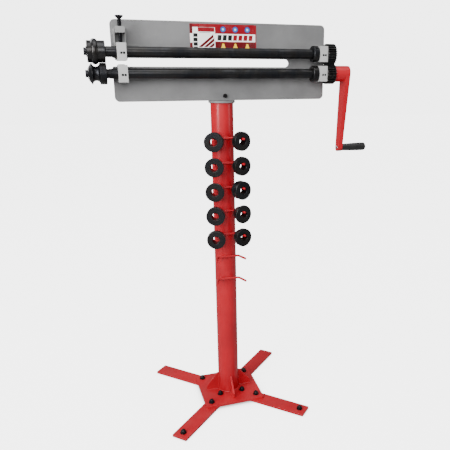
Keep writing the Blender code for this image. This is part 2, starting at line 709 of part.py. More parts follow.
def make_die_bolt(name, z):
    washer = DIE_WASHER_THICK
    top = washer + DIE_BOLT_HEAD
    shank = DIE_BOLT_LENGTH - 4 * TOUCH_GAP
    rings = [
        [(0, 0, shank)],
        circle(DIE_BOLT_RADIUS, HEX_FACETS, shank),
        circle(DIE_BOLT_RADIUS, HEX_FACETS, 0),
        circle(DIE_WASHER_RADIUS, HEX_FACETS, 0),
        circle(DIE_WASHER_RADIUS, HEX_FACETS, -washer),
        hexagon(DIE_BOLT_FLATS, height=-washer),
        hexagon(DIE_BOLT_FLATS, height=-top),
        [(0, 0, -top)],
    ]
    add(name, skin(name, rings), BLACK_STEEL, (DIE_LEFT_X - TOUCH_GAP, SHAFT_Y, z), ALONG_X)


def make_shaft_set(level, z, right_end, neck, die_profile):
    """One shaft with its die, die bolt, collar and gear."""
    axis = (0, SHAFT_Y, z)
    shaft = f"{level}_shaft"
    add(shaft, turned(shaft, shaft_profile(neck, right_end)), BLACK_STEEL, axis, ALONG_X)
    die = f"{level}_die"
    add(die, turned(die, die_profile, FINE), BLACK_STEEL, (DIE_LEFT_X, SHAFT_Y, z), ALONG_X)
    make_die_bolt(f"{level}_die_bolt", z)
    inner, outer, edge = SHAFT_RADIUS + TOUCH_GAP, COLLAR_RADIUS, COLLAR_CHAMFER
    profile = [
        (0, inner),
        (0, outer - edge),
        (edge, outer),
        (COLLAR_WIDTH - edge, outer),
        (COLLAR_WIDTH, outer - edge),
        (COLLAR_WIDTH, inner),
    ]
    collar = f"{level}_collar"
    left = RIGHT_BLOCK_X - BLOCK_WIDTH / 2 - SLIDE_GAP - COLLAR_WIDTH
    add(collar, turned(collar, profile), BLACK_STEEL, (left, SHAFT_Y, z), ALONG_X)
    gear = f"{level}_gear"
    wheel = add(gear, prism(gear, gear_outline(), GEAR_WIDTH), BLACK_STEEL, (GEAR_LEFT_X, SHAFT_Y, z), ALONG_X)
    middle = (GEAR_LEFT_X + GEAR_WIDTH / 2, SHAFT_Y, z)
    drill(wheel, f"cut_{gear}", GEAR_SEAT_RADIUS + TOUCH_GAP, GEAR_WIDTH * 2, middle, ALONG_X)


# Crank -------------------------------------------------------------------------------------------


def arm_outline():
    """A tapered bar with round ends, its hub end on the origin, running along +X."""
    spread = acos((ARM_HUB_RADIUS - ARM_END_RADIUS) / CRANK_THROW)
    outline = []
    steps = 12
    for k in range(steps + 1):
        a = spread + (2 * pi - 2 * spread) * k / steps
        outline.append((ARM_HUB_RADIUS * cos(a), ARM_HUB_RADIUS * sin(a)))
    for k in range(steps + 1):
        a = -spread + 2 * spread * k / steps
        outline.append((CRANK_THROW + ARM_END_RADIUS * cos(a), ARM_END_RADIUS * sin(a)))
    return outline


def make_crank():
    arm_left = HUB_RIGHT_X - ARM_THICK
    data = prism("crank_arm", arm_outline(), ARM_THICK)
    for vertex in data.vertices:
        vertex.co.z -= ARM_LEAN * vertex.co.x / CRANK_THROW
    arm = add("crank_arm", data, RED, (arm_left, SHAFT_Y, LOWER_Z), ALONG_X)
    ease_edges(arm, 0.0012)
    edge = 0.002
    profile = [
        (0, 0),
        (0, HUB_RADIUS - edge),
        (edge, HUB_RADIUS),
        (HUB_LENGTH - edge, HUB_RADIUS),
        (HUB_LENGTH, HUB_RADIUS - edge),
        (HUB_LENGTH, 0),
    ]
    hub = add("crank_hub", turned("crank_hub", profile), RED, (HUB_LEFT_X, SHAFT_Y, LOWER_Z), ALONG_X)
    use(arm, hub, "UNION")
    middle = (HUB_LEFT_X + HUB_LENGTH / 2, SHAFT_Y, LOWER_Z)
    drill(arm, "cut_crank_bore", GEAR_SEAT_RADIUS + TOUCH_GAP, HUB_LENGTH * 2, middle, ALONG_X)
    eye = (GRIP_LEFT_X - ARM_THICK / 2, SHAFT_Y, GRIP_Z)
    drill(arm, "cut_crank_eye", PIN_RADIUS + TOUCH_GAP, ARM_THICK * 3, eye, ALONG_X, ROUND)
    pin_left = GRIP_LEFT_X - SLIDE_GAP - ARM_THICK
    pin_right = GRIP_RIGHT_X - TOUCH_GAP
    profile = [
        (pin_left, 0),
        (pin_left, PIN_RADIUS),
        (pin_right - PIN_HEAD_LENGTH, PIN_RADIUS),
        (pin_right - PIN_HEAD_LENGTH, PIN_HEAD_RADIUS),
        (pin_right, PIN_HEAD_RADIUS),
        (pin_right, 0),
    ]
    add("grip_pin", turned("grip_pin", profile, COARSE), STEEL, (0, SHAFT_Y, GRIP_Z), ALONG_X)


def make_grip():
    """The hand grip, a little fatter at its outer end, with a recess for the pin's head."""
    bore = PIN_RADIUS + RUNNING_GAP
    recess = PIN_HEAD_RADIUS + SLIDE_GAP
    length, fat, thin = GRIP_LENGTH, GRIP_OUTER_RADIUS, GRIP_INNER_RADIUS
    floor = length - TOUCH_GAP - PIN_HEAD_LENGTH - SLIDE_GAP
    profile = [
        (floor, recess),
        (floor, bore),
        (0, bore),
        (0, thin - 0.001),
        (0.001, thin),
        (length * 0.45, (thin + fat) / 2 + 0.0004),
        (length * 0.8, fat),
        (length - 0.006, fat),
        (length - 0.003, fat - 0.0008),
        (length - 0.001, fat - 0.0022),
        (length, recess + 0.001),
        (length, recess),
    ]
    add("crank_grip", turned("crank_grip", profile), BLACK_PLASTIC, (GRIP_LEFT_X, SHAFT_Y, GRIP_Z), ALONG_X)


clear_scene()
machine = bpy.data.objects.new("machine", None)
machine.location = (MACHINE_X, 0, 0)
bpy.context.scene.collection.objects.link(machine)

RED = paint("red_paint", (0.55, 0.025, 0.03), 0.35)
GREY = paint("grey_paint", (0.30, 0.30, 0.30), 0.5)
PALE_GREY = paint("pale_grey_paint", (0.52, 0.52, 0.52), 0.5)
BLACK_STEEL = paint("black_steel", (0.02, 0.02, 0.022), 0.4, 0.7)
STEEL = paint("bright_steel", (0.5, 0.5, 0.5), 0.3, 1.0)
BRONZE = paint("bronze", (0.42, 0.26, 0.10), 0.35, 1.0)
BLACK_PLASTIC = paint("black_plastic", (0.015, 0.015, 0.015), 0.45)

make_base()
make_gussets()
make_column()
for hook_row in range(HOOK_ROWS):
    make_hook(hook_row)
make_spare_dies()
make_frame_plate()
make_frame_foot()
make_frame_bolt()
make_bearings()
make_screw_guide()
make_adjusting_screw()
make_shaft_set("upper", UPPER_Z, HUB_LEFT_X + 0.003, False, male_die_profile())
make_shaft_set("lower", LOWER_Z, HUB_RIGHT_X - 0.001, True, female_die_profile())
make_crank()
make_grip()
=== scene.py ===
from math import acos, cos, pi, radians, sin, sqrt, tan

import bmesh
import bpy
from mathutils import Matrix, Vector


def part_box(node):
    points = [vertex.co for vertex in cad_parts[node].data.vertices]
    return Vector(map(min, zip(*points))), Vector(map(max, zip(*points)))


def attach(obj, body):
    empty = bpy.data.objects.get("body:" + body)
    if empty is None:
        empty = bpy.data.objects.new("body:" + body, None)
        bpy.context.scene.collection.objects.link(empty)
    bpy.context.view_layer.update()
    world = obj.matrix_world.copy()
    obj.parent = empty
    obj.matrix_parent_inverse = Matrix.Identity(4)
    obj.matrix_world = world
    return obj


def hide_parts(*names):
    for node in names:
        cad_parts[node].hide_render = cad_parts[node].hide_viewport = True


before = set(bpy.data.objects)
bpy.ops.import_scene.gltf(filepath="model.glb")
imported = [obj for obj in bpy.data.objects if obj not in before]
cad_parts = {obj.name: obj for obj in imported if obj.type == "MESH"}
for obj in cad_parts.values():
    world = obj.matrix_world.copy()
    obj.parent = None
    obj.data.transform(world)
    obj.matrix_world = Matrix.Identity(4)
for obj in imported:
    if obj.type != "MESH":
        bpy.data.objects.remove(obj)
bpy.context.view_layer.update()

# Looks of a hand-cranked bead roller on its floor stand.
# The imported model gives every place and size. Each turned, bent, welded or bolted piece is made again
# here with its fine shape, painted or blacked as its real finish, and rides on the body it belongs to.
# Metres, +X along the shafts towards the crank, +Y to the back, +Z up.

# Sizes that the model's boxes don't tell
ALONG_X = Matrix.Rotation(pi / 2, 4, "Y")
AGAINST_X = Matrix.Rotation(-pi / 2, 4, "Y")
FACING_FRONT = Matrix.Rotation(pi / 2, 4, "X")
JOINT_GAP = 0.0003
SLIDE_GAP = 0.0005
ROUND = 96
SMALL_ROUND = 48
GEAR_TEETH = 25
PRESSURE_ANGLE = radians(20)
GEAR_BACKLASH = 0.0005
LEG_WIDTH = 0.045
LEG_INNER = 0.024
BASE_CORNER_CUT = 0.004
GUSSET_THICK = 0.005
GUSSET_NOSE = 0.014
GUSSET_TOP = 0.004
LUG_WIDTH = 0.034
LUG_THICK = 0.008
FOOT_THICK = 0.005
PLATE_CORNER = 0.012
THROAT_DEPTH = 0.457
THROAT_HEIGHT = 0.020
THROAT_MOUTH_CORNER = 0.004
HOOK_SPLAY = radians(20)
HOOK_BEND = 0.007
HOOK_PRONG = 0.036
SPARE_WIDTH = 0.025
SPARE_ALONG_PRONG = 0.018
ARM_HUB_RADIUS = 0.0208
ARM_END_RADIUS = 0.0105
ARM_THICK = 0.012
ARM_LEAN = 0.012
BUSH_WALL = 0.0025
DIE_BORE = 0.010
BEAD_CENTRE = 0.017
DIE_GAP = 0.0004
RUNNING_GAP = 0.0004
SET_SCREW_RADIUS = 0.0029
SET_SCREWS_APART = 0.0064
SET_SCREWS_RIGHT = 0.002
SET_SCREWS_BELOW_AXIS = 0.003
SCREW_SEAT_RADIUS = 0.0043
BOLT_RADIUS = 0.004
BOLT_HOLE_RADIUS = 0.0043
WASHER_THICK = 0.0015
HOOK_HALF_WIDTH = 0.029
COLUMN_WALL = 0.003
BORE_RADIUS = 0.0103

# How bright the floor and the air behind it look to the camera alone
WHITE_TO_THE_EYE = 4.4

SIDES = ("right", "rear", "left", "front")
CORNERS = ("right_rear", "left_rear", "left_front", "right_front")
BASE_BOLTS = [f"{reach}_bolt_{corner}" for reach in ("outer", "inner") for corner in CORNERS]
END_BOLTS = [f"end_bolt_{side}_front" for side in ("left", "right")]


def middle(node):
    """The centre of a node's box."""
    low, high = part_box(node)
    return (low + high) / 2


def extent(node):
    """The size of a node's box."""
    low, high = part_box(node)
    return high - low


COLUMN_X = middle("column").x
COLUMN_RADIUS = extent("column").x / 2
PLATE_LOW, PLATE_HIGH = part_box("frame_plate")
SHAFT_Y = middle("upper_shaft").y
UPPER_Z = middle("upper_shaft").z
LOWER_Z = middle("lower_shaft").z
SHAFT_RADIUS = extent("upper_shaft").z / 2


def axis_height(level):
    """The height of the upper or the lower shaft."""
    return UPPER_Z if level == "upper" else LOWER_Z


# Node wiring -------------------------------------------------------------------------------------


def put(tree, kind, settings=None, **inputs):
    """A node with its settings, and with its inputs set or linked. _0, _1 name an input by its place."""
    made = tree.nodes.new(kind)
    for key, value in (settings or {}).items():
        setattr(made, key, value)
    for key, value in inputs.items():
        socket = made.inputs[int(key[1:]) if key[0] == "_" else key.replace("_", " ")]
        if isinstance(value, bpy.types.NodeSocket):
            tree.links.new(value, socket)
        else:
            socket.default_value = value
    return made


def maths(tree, operation, a, b=0.0, clamp=False):
    """One step of arithmetic."""
    return put(tree, "ShaderNodeMath", {"operation": operation, "use_clamp": clamp}, _0=a, _1=b).outputs[0]


def spread(tree, value, low, high, out_low=0.0, out_high=1.0):
    """value, stretched from low..high to out_low..out_high and kept inside them."""
    return put(
        tree, "ShaderNodeMapRange", {"interpolation_type": "SMOOTHSTEP"},
        Value=value, From_Min=low, From_Max=high, To_Min=out_low, To_Max=out_high,
    ).outputs[0]


def blend(tree, share, a, b, kind="MIX"):
    """Colour a, with a share of colour b laid over it."""
    made = put(tree, "ShaderNodeMix", {"data_type": "RGBA", "blend_type": kind}, _0=share, _6=a, _7=b)
    return made.outputs[2]


def noise(tree, vector, scale, detail=2.0, roughness=0.5, distortion=0.0):
    """Cloudy noise from 0 to 1."""
    return put(
        tree, "ShaderNodeTexNoise", Vector=vector, Scale=scale, Detail=detail,
        Roughness=roughness, Distortion=distortion,
    ).outputs[0]


def group(name, inputs, outputs):
    """A shader node group with its named sockets, and the nodes that stand for them."""
    tree = bpy.data.node_groups.new(name, "ShaderNodeTree")
    for label, kind, value in inputs:
        socket = tree.interface.new_socket(label, in_out="INPUT", socket_type="NodeSocket" + kind)
        if value is not None:
            socket.default_value = value
    for label in outputs:
        tree.interface.new_socket(label, in_out="OUTPUT", socket_type="NodeSocketFloat")
    return tree, tree.nodes.new("NodeGroupInput").outputs, tree.nodes.new("NodeGroupOutput").inputs


def make_edge_wear():
    """A mask along sharp edges, broken up so that it comes and goes."""
    tree, given, out = group(
        "edge wear",
        [
            ("Vector", "Vector", None), ("Width", "Float", 0.001),
            ("Reach", "Float", 0.4), ("Scale", "Float", 90.0),
        ],
        ["Mask"],
    )
    rounded = put(tree, "ShaderNodeBevel", {"samples": 6}, Radius=given["Width"])
    surface = put(tree, "ShaderNodeNewGeometry")
    along = put(
        tree, "ShaderNodeVectorMath", {"operation": "DOT_PRODUCT"},
        _0=rounded.outputs[0], _1=surface.outputs["Normal"],
    ).outputs["Value"]
    edge = spread(tree, maths(tree, "SUBTRACT", 1.0, along), 0.02, 0.22)
    patches = noise(tree, given["Vector"], given["Scale"], 5.0, 0.65)
    threshold = maths(tree, "SUBTRACT", 1.0, given["Reach"])
    over = maths(tree, "SUBTRACT", patches, maths(tree, "MULTIPLY", threshold, 0.7))
    shown = spread(tree, over, 0.0, 0.12)
    tree.links.new(maths(tree, "MULTIPLY", edge, shown), out["Mask"])
    return tree


def make_settled_dust():
    """A mask of dust on the faces that look up."""
    tree, given, out = group(
        "settled dust", [("Vector", "Vector", None), ("Scale", "Float", 25.0)], ["Mask"],
    )
    surface = put(tree, "ShaderNodeNewGeometry")
    up = put(tree, "ShaderNodeSeparateXYZ", Vector=surface.outputs["Normal"]).outputs["Z"]
    flat = spread(tree, up, 0.55, 1.0)
    cloud = spread(tree, noise(tree, given["Vector"], given["Scale"], 6.0, 0.7), 0.38, 0.72)
    tree.links.new(maths(tree, "MULTIPLY", flat, cloud), out["Mask"])
    return tree


def make_fine_scratches():
    """A mask of thin, short scratches that lie in two directions."""
    tree, given, out = group(
        "fine scratches",
        [("Vector", "Vector", None), ("Scale", "Float", 60.0), ("Reach", "Float", 0.5)],
        ["Mask"],
    )
    lines = []
    for turn, stretch in ((0.5, 14.0), (-0.9, 9.0)):
        laid = put(
            tree, "ShaderNodeMapping", Vector=given["Vector"], Rotation=(turn, turn * 0.7, turn * 1.3),
            Scale=(1.0, stretch, stretch),
        ).outputs[0]
        streak = noise(tree, laid, given["Scale"], 2.0, 0.4, 0.6)
        ridge = maths(tree, "ABSOLUTE", maths(tree, "SUBTRACT", streak, 0.5))
        lines.append(spread(tree, ridge, 0.006, 0.0))
    both = maths(tree, "MAXIMUM", *lines)
    threshold = maths(tree, "SUBTRACT", 0.95, maths(tree, "MULTIPLY", given["Reach"], 0.6))
    patch = noise(tree, given["Vector"], 17.0, 3.0)
    over = maths(tree, "SUBTRACT", patch, maths(tree, "MULTIPLY", threshold, 0.75))
    shown = spread(tree, over, 0.0, 0.1)
    tree.links.new(maths(tree, "MULTIPLY", both, shown), out["Mask"])
    return tree


def make_paint_film():
    """The skin of a sprayed enamel: its orange peel, its slow change of tone, and where it is duller."""
    tree, given, out = group(
        "paint film",
        [("Vector", "Vector", None), ("Peel Scale", "Float", 420.0), ("Cloud Scale", "Float", 7.0)],
        ["Height", "Tone", "Dullness"],
    )
    peel = noise(tree, given["Vector"], given["Peel Scale"], 1.5, 0.4)
    sag = noise(tree, given["Vector"], maths(tree, "MULTIPLY", given["Peel Scale"], 0.12), 2.0)
    tree.links.new(maths(tree, "ADD", peel, maths(tree, "MULTIPLY", sag, 1.6)), out["Height"])
    tree.links.new(noise(tree, given["Vector"], given["Cloud Scale"], 4.0, 0.6), out["Tone"])
    tree.links.new(noise(tree, given["Vector"], 34.0, 5.0, 0.6), out["Dullness"])
    return tree


def make_turning_marks():
    """The rings that a lathe tool leaves, read from how far along its profile each point is."""
    tree, given, out = group("turning marks", [("Pitch", "Float", 0.0004)], ["Height", "Streak"])
    along = put(tree, "ShaderNodeAttribute", {"attribute_name": "along_profile"}).outputs["Fac"]
    turns = maths(tree, "DIVIDE", along, given["Pitch"])
    rings = maths(tree, "SINE", maths(tree, "MULTIPLY", turns, 2 * pi))
    line = put(tree, "ShaderNodeCombineXYZ", X=turns).outputs[0]
    uneven = noise(tree, line, 0.9, 3.0, 0.7)
    height = maths(tree, "ADD", maths(tree, "MULTIPLY", rings, 0.3), uneven)
    tree.links.new(height, out["Height"])
    tree.links.new(noise(tree, line, 0.11, 2.0, 0.5), out["Streak"])
    return tree


def make_cast_grain():
    """The pebbled skin of a sand casting or a bead-blasted block."""
    tree, given, out = group(
        "cast grain", [("Vector", "Vector", None), ("Scale", "Float", 700.0)], ["Height"],
    )
    cells = put(
        tree, "ShaderNodeTexVoronoi", {"feature": "SMOOTH_F1"}, Vector=given["Vector"], Scale=given["Scale"],
    )
    coarse = noise(tree, given["Vector"], maths(tree, "MULTIPLY", given["Scale"], 0.3), 4.0, 0.6)
    tree.links.new(maths(tree, "ADD", cells.outputs["Distance"], coarse), out["Height"])
    return tree


EDGE_WEAR = make_edge_wear()
SETTLED_DUST = make_settled_dust()
FINE_SCRATCHES = make_fine_scratches()
PAINT_FILM = make_paint_film()
TURNING_MARKS = make_turning_marks()
CAST_GRAIN = make_cast_grain()


# Finishes ----------------------------------------------------------------------------------------


def new_finish(name, **shader_values):
    """A material with its Principled shader, and its object coordinates."""
    look = bpy.data.materials.new(name)
    look.use_nodes = True
    tree = look.node_tree
    shader = tree.nodes["Principled BSDF"]
    for key, value in shader_values.items():
        shader.inputs[key.replace("_", " ")].default_value = value
    return look, tree, shader.inputs, put(tree, "ShaderNodeTexCoord").outputs["Object"]


def feed(tree, into, **values):
    """Links each value to the shader's input of that name."""
    for key, value in values.items():
        tree.links.new(value, into[key.replace("_", " ")])


def effect(tree, which, **inputs):
    """The outputs of a shared effect."""
    return put(tree, "ShaderNodeGroup", {"node_tree": which}, **inputs).outputs


def bump(tree, height, distance, strength=1.0, under=None):
    """A normal raised by a height, on top of another where one is given."""
    made = put(tree, "ShaderNodeBump", Height=height, Distance=distance, Strength=strength)
    if under is not None:
        tree.links.new(under, made.inputs["Normal"])
    return made.outputs[0]


def tinted(colour, factor):
    """The colour made lighter or darker, with its alpha."""
    return (*(min(1.0, c * factor) for c in colour), 1.0)


def enamel(name, colour, primer, gloss, peel, wear, coat, dust=0.16, grain=0.0):
    """Sprayed enamel: cloudy tone, orange peel, thin or chipped edges, scratches and a little dust."""
    look, tree, into, spot = new_finish(name, Coat_Roughness=0.14, Coat_IOR=1.4, Specular_IOR_Level=0.28)
    film = effect(tree, PAINT_FILM, Vector=spot, Peel_Scale=peel)
    edge = effect(tree, EDGE_WEAR, Vector=spot, Width=0.0012, Reach=wear, Scale=120.0)["Mask"]
    thin_edge = effect(tree, EDGE_WEAR, Vector=spot, Width=0.002, Reach=0.9, Scale=40.0)["Mask"]
    scratch = effect(tree, FINE_SCRATCHES, Vector=spot, Scale=70.0, Reach=0.45)["Mask"]
    powder = effect(tree, SETTLED_DUST, Vector=spot, Scale=22.0)["Mask"]
    tone = spread(tree, film["Tone"], 0.3, 0.7)
    base = blend(tree, tone, tinted(colour, 0.82), tinted(colour, 1.12))
    base = blend(tree, maths(tree, "MULTIPLY", thin_edge, 0.35), base, tinted(colour, 1.5))
    base = blend(tree, maths(tree, "MULTIPLY", scratch, 0.35), base, tinted(colour, 1.7))
    base = blend(tree, edge, base, (*primer, 1.0))
    base = blend(tree, maths(tree, "MULTIPLY", powder, dust), base, (0.26, 0.23, 0.20, 1.0))
    feed(tree, into, Base_Color=base)
    dull = spread(tree, film["Dullness"], 0.3, 0.75, gloss, gloss + 0.16)
    dull = maths(tree, "ADD", dull, maths(tree, "MULTIPLY", scratch, 0.2))
    dull = maths(tree, "ADD", dull, maths(tree, "MULTIPLY", edge, 0.15))
    feed(tree, into, Roughness=maths(tree, "ADD", dull, maths(tree, "MULTIPLY", powder, 0.25), True))
    dulled = maths(tree, "MULTIPLY", maths(tree, "ADD", edge, powder), coat)
    shine = maths(tree, "SUBTRACT", coat, dulled, True)
    feed(tree, into, Coat_Weight=shine)
    skin = bump(tree, film["Height"], 0.00006)
    if grain:
        pebbles = effect(tree, CAST_GRAIN, Vector=spot, Scale=620.0)["Height"]
        skin = bump(tree, pebbles, grain, under=skin)
    lifted = maths(tree, "SUBTRACT", 1.0, maths(tree, "ADD", edge, maths(tree, "MULTIPLY", scratch, 0.4)))
    feed(tree, into, Normal=bump(tree, lifted, 0.00008, under=skin))
    return look


def blacked_steel(name, colour, bare, dullness, pitch, wear, metal=0.75):
    """Chemically blacked steel: lathe marks, brown and blue patches, oil smears and rubbed edges."""
    look, tree, into, spot = new_finish(name, Specular_IOR_Level=0.32, Coat_Roughness=0.3)
    marks = effect(tree, TURNING_MARKS, Pitch=pitch)
    edge = effect(tree, EDGE_WEAR, Vector=spot, Width=0.0009, Reach=wear, Scale=160.0)["Mask"]
    scratch = effect(tree, FINE_SCRATCHES, Vector=spot, Scale=90.0, Reach=0.6)["Mask"]
    powder = effect(tree, SETTLED_DUST, Vector=spot, Scale=30.0)["Mask"]
    cloud = spread(tree, noise(tree, spot, 26.0, 5.0, 0.65), 0.3, 0.72)
    brown = (colour[0] * 1.5, colour[1] * 1.25, colour[2])
    blue = (colour[0] * 0.8, colour[1] * 0.95, colour[2] * 1.3)
    base = blend(tree, cloud, (*blue, 1.0), (*brown, 1.0))
    base = blend(tree, spread(tree, marks["Streak"], 0.35, 0.7, 0.0, 0.5), base, tinted(colour, 1.9))
    base = blend(tree, maths(tree, "MULTIPLY", scratch, 0.5), base, (*bare, 1.0))
    base = blend(tree, maths(tree, "MULTIPLY", edge, 0.85), base, (*bare, 1.0))
    base = blend(tree, maths(tree, "MULTIPLY", powder, 0.04), base, (0.16, 0.14, 0.12, 1.0))
    feed(tree, into, Base_Color=base)
    oil = spread(tree, noise(tree, spot, 11.0, 3.0, 0.55, 0.8), 0.42, 0.6)
    rough = maths(tree, "SUBTRACT", dullness + 0.1, maths(tree, "MULTIPLY", oil, 0.16))
    rough = maths(tree, "ADD", rough, maths(tree, "MULTIPLY", powder, 0.12))
    feed(tree, into, Roughness=maths(tree, "SUBTRACT", rough, maths(tree, "MULTIPLY", edge, 0.08), True))
    feed(tree, into, Metallic=spread(tree, maths(tree, "MAXIMUM", edge, scratch), 0.0, 1.0, metal, 1.0))
    feed(tree, into, Coat_Weight=maths(tree, "MULTIPLY", oil, 0.35))
    skin = bump(tree, marks["Height"], 0.000012)
    feed(tree, into, Normal=bump(tree, noise(tree, spot, 900.0, 3.0), 0.00002, under=skin))
    return look


def turned_metal(name, colour, dark, dullness, pitch):
    """Bright turned metal with lathe rings, finger tarnish and scratches."""
    look, tree, into, spot = new_finish(name, Metallic=1.0, Anisotropic=0.3)
    marks = effect(tree, TURNING_MARKS, Pitch=pitch)
    scratch = effect(tree, FINE_SCRATCHES, Vector=spot, Scale=120.0, Reach=0.7)["Mask"]
    tarnish = spread(tree, noise(tree, spot, 60.0, 5.0, 0.65), 0.4, 0.75)
    base = blend(tree, maths(tree, "MULTIPLY", tarnish, 0.55), (*colour, 1.0), (*dark, 1.0))
    base = blend(tree, spread(tree, marks["Streak"], 0.3, 0.7, 0.0, 0.35), base, tinted(colour, 1.25))
    feed(tree, into, Base_Color=base)
    rough = maths(tree, "ADD", dullness, maths(tree, "MULTIPLY", tarnish, 0.22))
    feed(tree, into, Roughness=maths(tree, "ADD", rough, maths(tree, "MULTIPLY", scratch, 0.15), True))
    feed(tree, into, Normal=bump(tree, marks["Height"], 0.00002))
    return look


def moulded_plastic(name, colour):
    """Black moulded plastic: a fine spark-eroded grain, polished by the hand in cloudy patches."""
    look, tree, into, spot = new_finish(name, Specular_IOR_Level=0.45)
    scratch = effect(tree, FINE_SCRATCHES, Vector=spot, Scale=100.0, Reach=0.55)["Mask"]
    rubbed = spread(tree, noise(tree, spot, 38.0, 3.0, 0.5), 0.35, 0.7)
    base = blend(tree, rubbed, tinted(colour, 0.8), tinted(colour, 1.35))
    base = blend(tree, maths(tree, "MULTIPLY", scratch, 0.3), base, (0.09, 0.09, 0.09, 1.0))
    feed(tree, into, Base_Color=base)
    feed(tree, into, Roughness=spread(tree, rubbed, 0.0, 1.0, 0.46, 0.3))
    grain = effect(tree, CAST_GRAIN, Vector=spot, Scale=1500.0)["Height"]
    feed(tree, into, Normal=bump(tree, grain, 0.00003))
    return look


def printed_vinyl(name, colour):
    """One ink of the printed label, with a fine screen, fading and scuffs."""
    look, tree, into, spot = new_finish(name, Coat_Roughness=0.3, Coat_Weight=0.05, Specular_IOR_Level=0.2)
    scratch = effect(tree, FINE_SCRATCHES, Vector=spot, Scale=110.0, Reach=0.5)["Mask"]
    fade = spread(tree, noise(tree, spot, 18.0, 4.0, 0.6), 0.3, 0.75)
    dots = put(tree, "ShaderNodeTexVoronoi", Vector=spot, Scale=1400.0).outputs["Distance"]
    base = blend(tree, fade, tinted(colour, 0.9), tinted(colour, 1.08))
    base = blend(tree, spread(tree, dots, 0.2, 0.6, 0.0, 0.12), base, tinted(colour, 0.7))
    base = blend(tree, maths(tree, "MULTIPLY", scratch, 0.25), base, (0.7, 0.7, 0.7, 1.0))
    feed(tree, into, Base_Color=base)
    feed(tree, into, Roughness=spread(tree, fade, 0.0, 1.0, 0.28, 0.42))
    feed(tree, into, Normal=bump(tree, noise(tree, spot, 260.0, 2.0), 0.00003))
    return look


RED_ENAMEL = enamel(
    "red_enamel", colour=(0.365, 0.0042, 0.0115), primer=(0.15, 0.085, 0.07),
    gloss=0.33, peel=420.0, wear=0.22, coat=0.32, dust=0.05,
)
GREY_ENAMEL = enamel(
    "plate_grey_enamel", colour=(0.155, 0.155, 0.156), primer=(0.07, 0.07, 0.072),
    gloss=0.42, peel=520.0, wear=0.2, coat=0.1, dust=0.04,
)
GUIDE_ENAMEL = enamel(
    "guide_grey_enamel", colour=(0.22, 0.22, 0.218), primer=(0.07, 0.07, 0.072),
    gloss=0.42, peel=500.0, wear=0.3, coat=0.1, dust=0.05,
)
PALE_ENAMEL = enamel(
    "block_grey_enamel", colour=(0.37, 0.37, 0.367), primer=(0.10, 0.10, 0.103),
    gloss=0.44, peel=480.0, wear=0.3, coat=0.1, dust=0.05, grain=0.00012,
)
BLACKED = blacked_steel(
    "blacked_steel", colour=(0.0085, 0.0085, 0.009), bare=(0.10, 0.10, 0.103),
    dullness=0.36, pitch=0.0006, wear=0.25,
)
BLACK_BOLTS = blacked_steel(
    "black_bolts", colour=(0.007, 0.007, 0.008), bare=(0.08, 0.08, 0.085),
    dullness=0.32, pitch=0.0009, wear=0.3,
)
GEAR_STEEL = blacked_steel(
    "greased_gear_steel", colour=(0.0075, 0.0073, 0.007), bare=(0.17, 0.168, 0.165),
    dullness=0.33, pitch=0.0008, wear=0.6,
)
BRIGHT_STEEL = turned_metal("bright_steel", (0.50, 0.50, 0.51), (0.20, 0.18, 0.16), 0.22, 0.0005)
BEARING_BRONZE = turned_metal("bearing_bronze", (0.42, 0.24, 0.09), (0.15, 0.075, 0.03), 0.26, 0.0006)
GRIP_PLASTIC = moulded_plastic("grip_plastic", (0.007, 0.007, 0.0073))
INKS = {
    name: printed_vinyl(f"label_{name}", colour) for name, colour in (
        ("red", (0.22, 0.0012, 0.008)),
        ("deep_red", (0.10, 0.001, 0.004)),
        ("white", (0.92, 0.92, 0.91)),
        ("black", (0.006, 0.006, 0.0065)),
        ("blue", (0.03, 0.12, 0.40)),
        ("sky", (0.40, 0.72, 0.88)),
        ("shade", (0.05, 0.02, 0.09)),
        ("yellow", (0.85, 0.55, 0.03)),
    )
}


# Making and placing pieces -----------------------------------------------------------------------


def settled(shape):
    """Turns an object's modifiers into a plain mesh."""
    bpy.context.view_layer.update()
    graph = bpy.context.evaluated_depsgraph_get()
    mesh = bpy.data.meshes.new_from_object(
        shape.evaluated_get(graph), preserve_all_data_layers=True, depsgraph=graph,
    )
    if shape.type == "MESH":
        shape.modifiers.clear()
        shape.data = mesh
        return shape
    name = shape.name
    bpy.data.objects.remove(shape)
    return loose(name, mesh)


def loose(name, data):
    """A new object in the scene that holds the data."""
    shape = bpy.data.objects.new(name, data)
    bpy.context.scene.collection.objects.link(shape)
    return shape


def smooth_off(mesh, sharp=34):
    """Smooth shading, with a sharp edge wherever faces turn by more than that many degrees."""
    mesh.shade_smooth()
    mesh.set_sharp_from_angle(angle=radians(sharp))


def even_shading(shape):
    """Lets big faces set the shading of their edges."""
    step = shape.modifiers.new("even_shading", "WEIGHTED_NORMAL")
    step.keep_sharp = True
    step.weight = 80


def ease_edges(shape, width, segments=3, above=30):
    """Rounds every edge that turns by more than so many degrees."""
    step = shape.modifiers.new("eased_edges", "BEVEL")
    step.width = width
    step.segments = segments
    step.limit_method = "ANGLE"
    step.angle_limit = radians(above)
    step.harden_normals = False


def cut_or_join(shape, others, operation):
    """Booleans the other meshes into the shape and clears them away."""
    tools = [loose(f"{operation.lower()}_tool", mesh) for mesh in others]
    for tool in tools:
        step = shape.modifiers.new(operation.lower(), "BOOLEAN")
        step.operation = operation
        step.solver = "EXACT"
        step.object = tool
    settled(shape)
    for tool in tools:
        bpy.data.objects.remove(tool)
    return shape


def place(shape, body, look=None, nodes=()):
    """Gives the finished piece its shading, finish, body and material slot."""
    if look is not None:
        shape.data.materials.clear()
        shape.data.materials.append(look)
    even_shading(shape)
    settled(shape)
    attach(shape, body)
    if nodes:
        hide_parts(*nodes)
    return shape


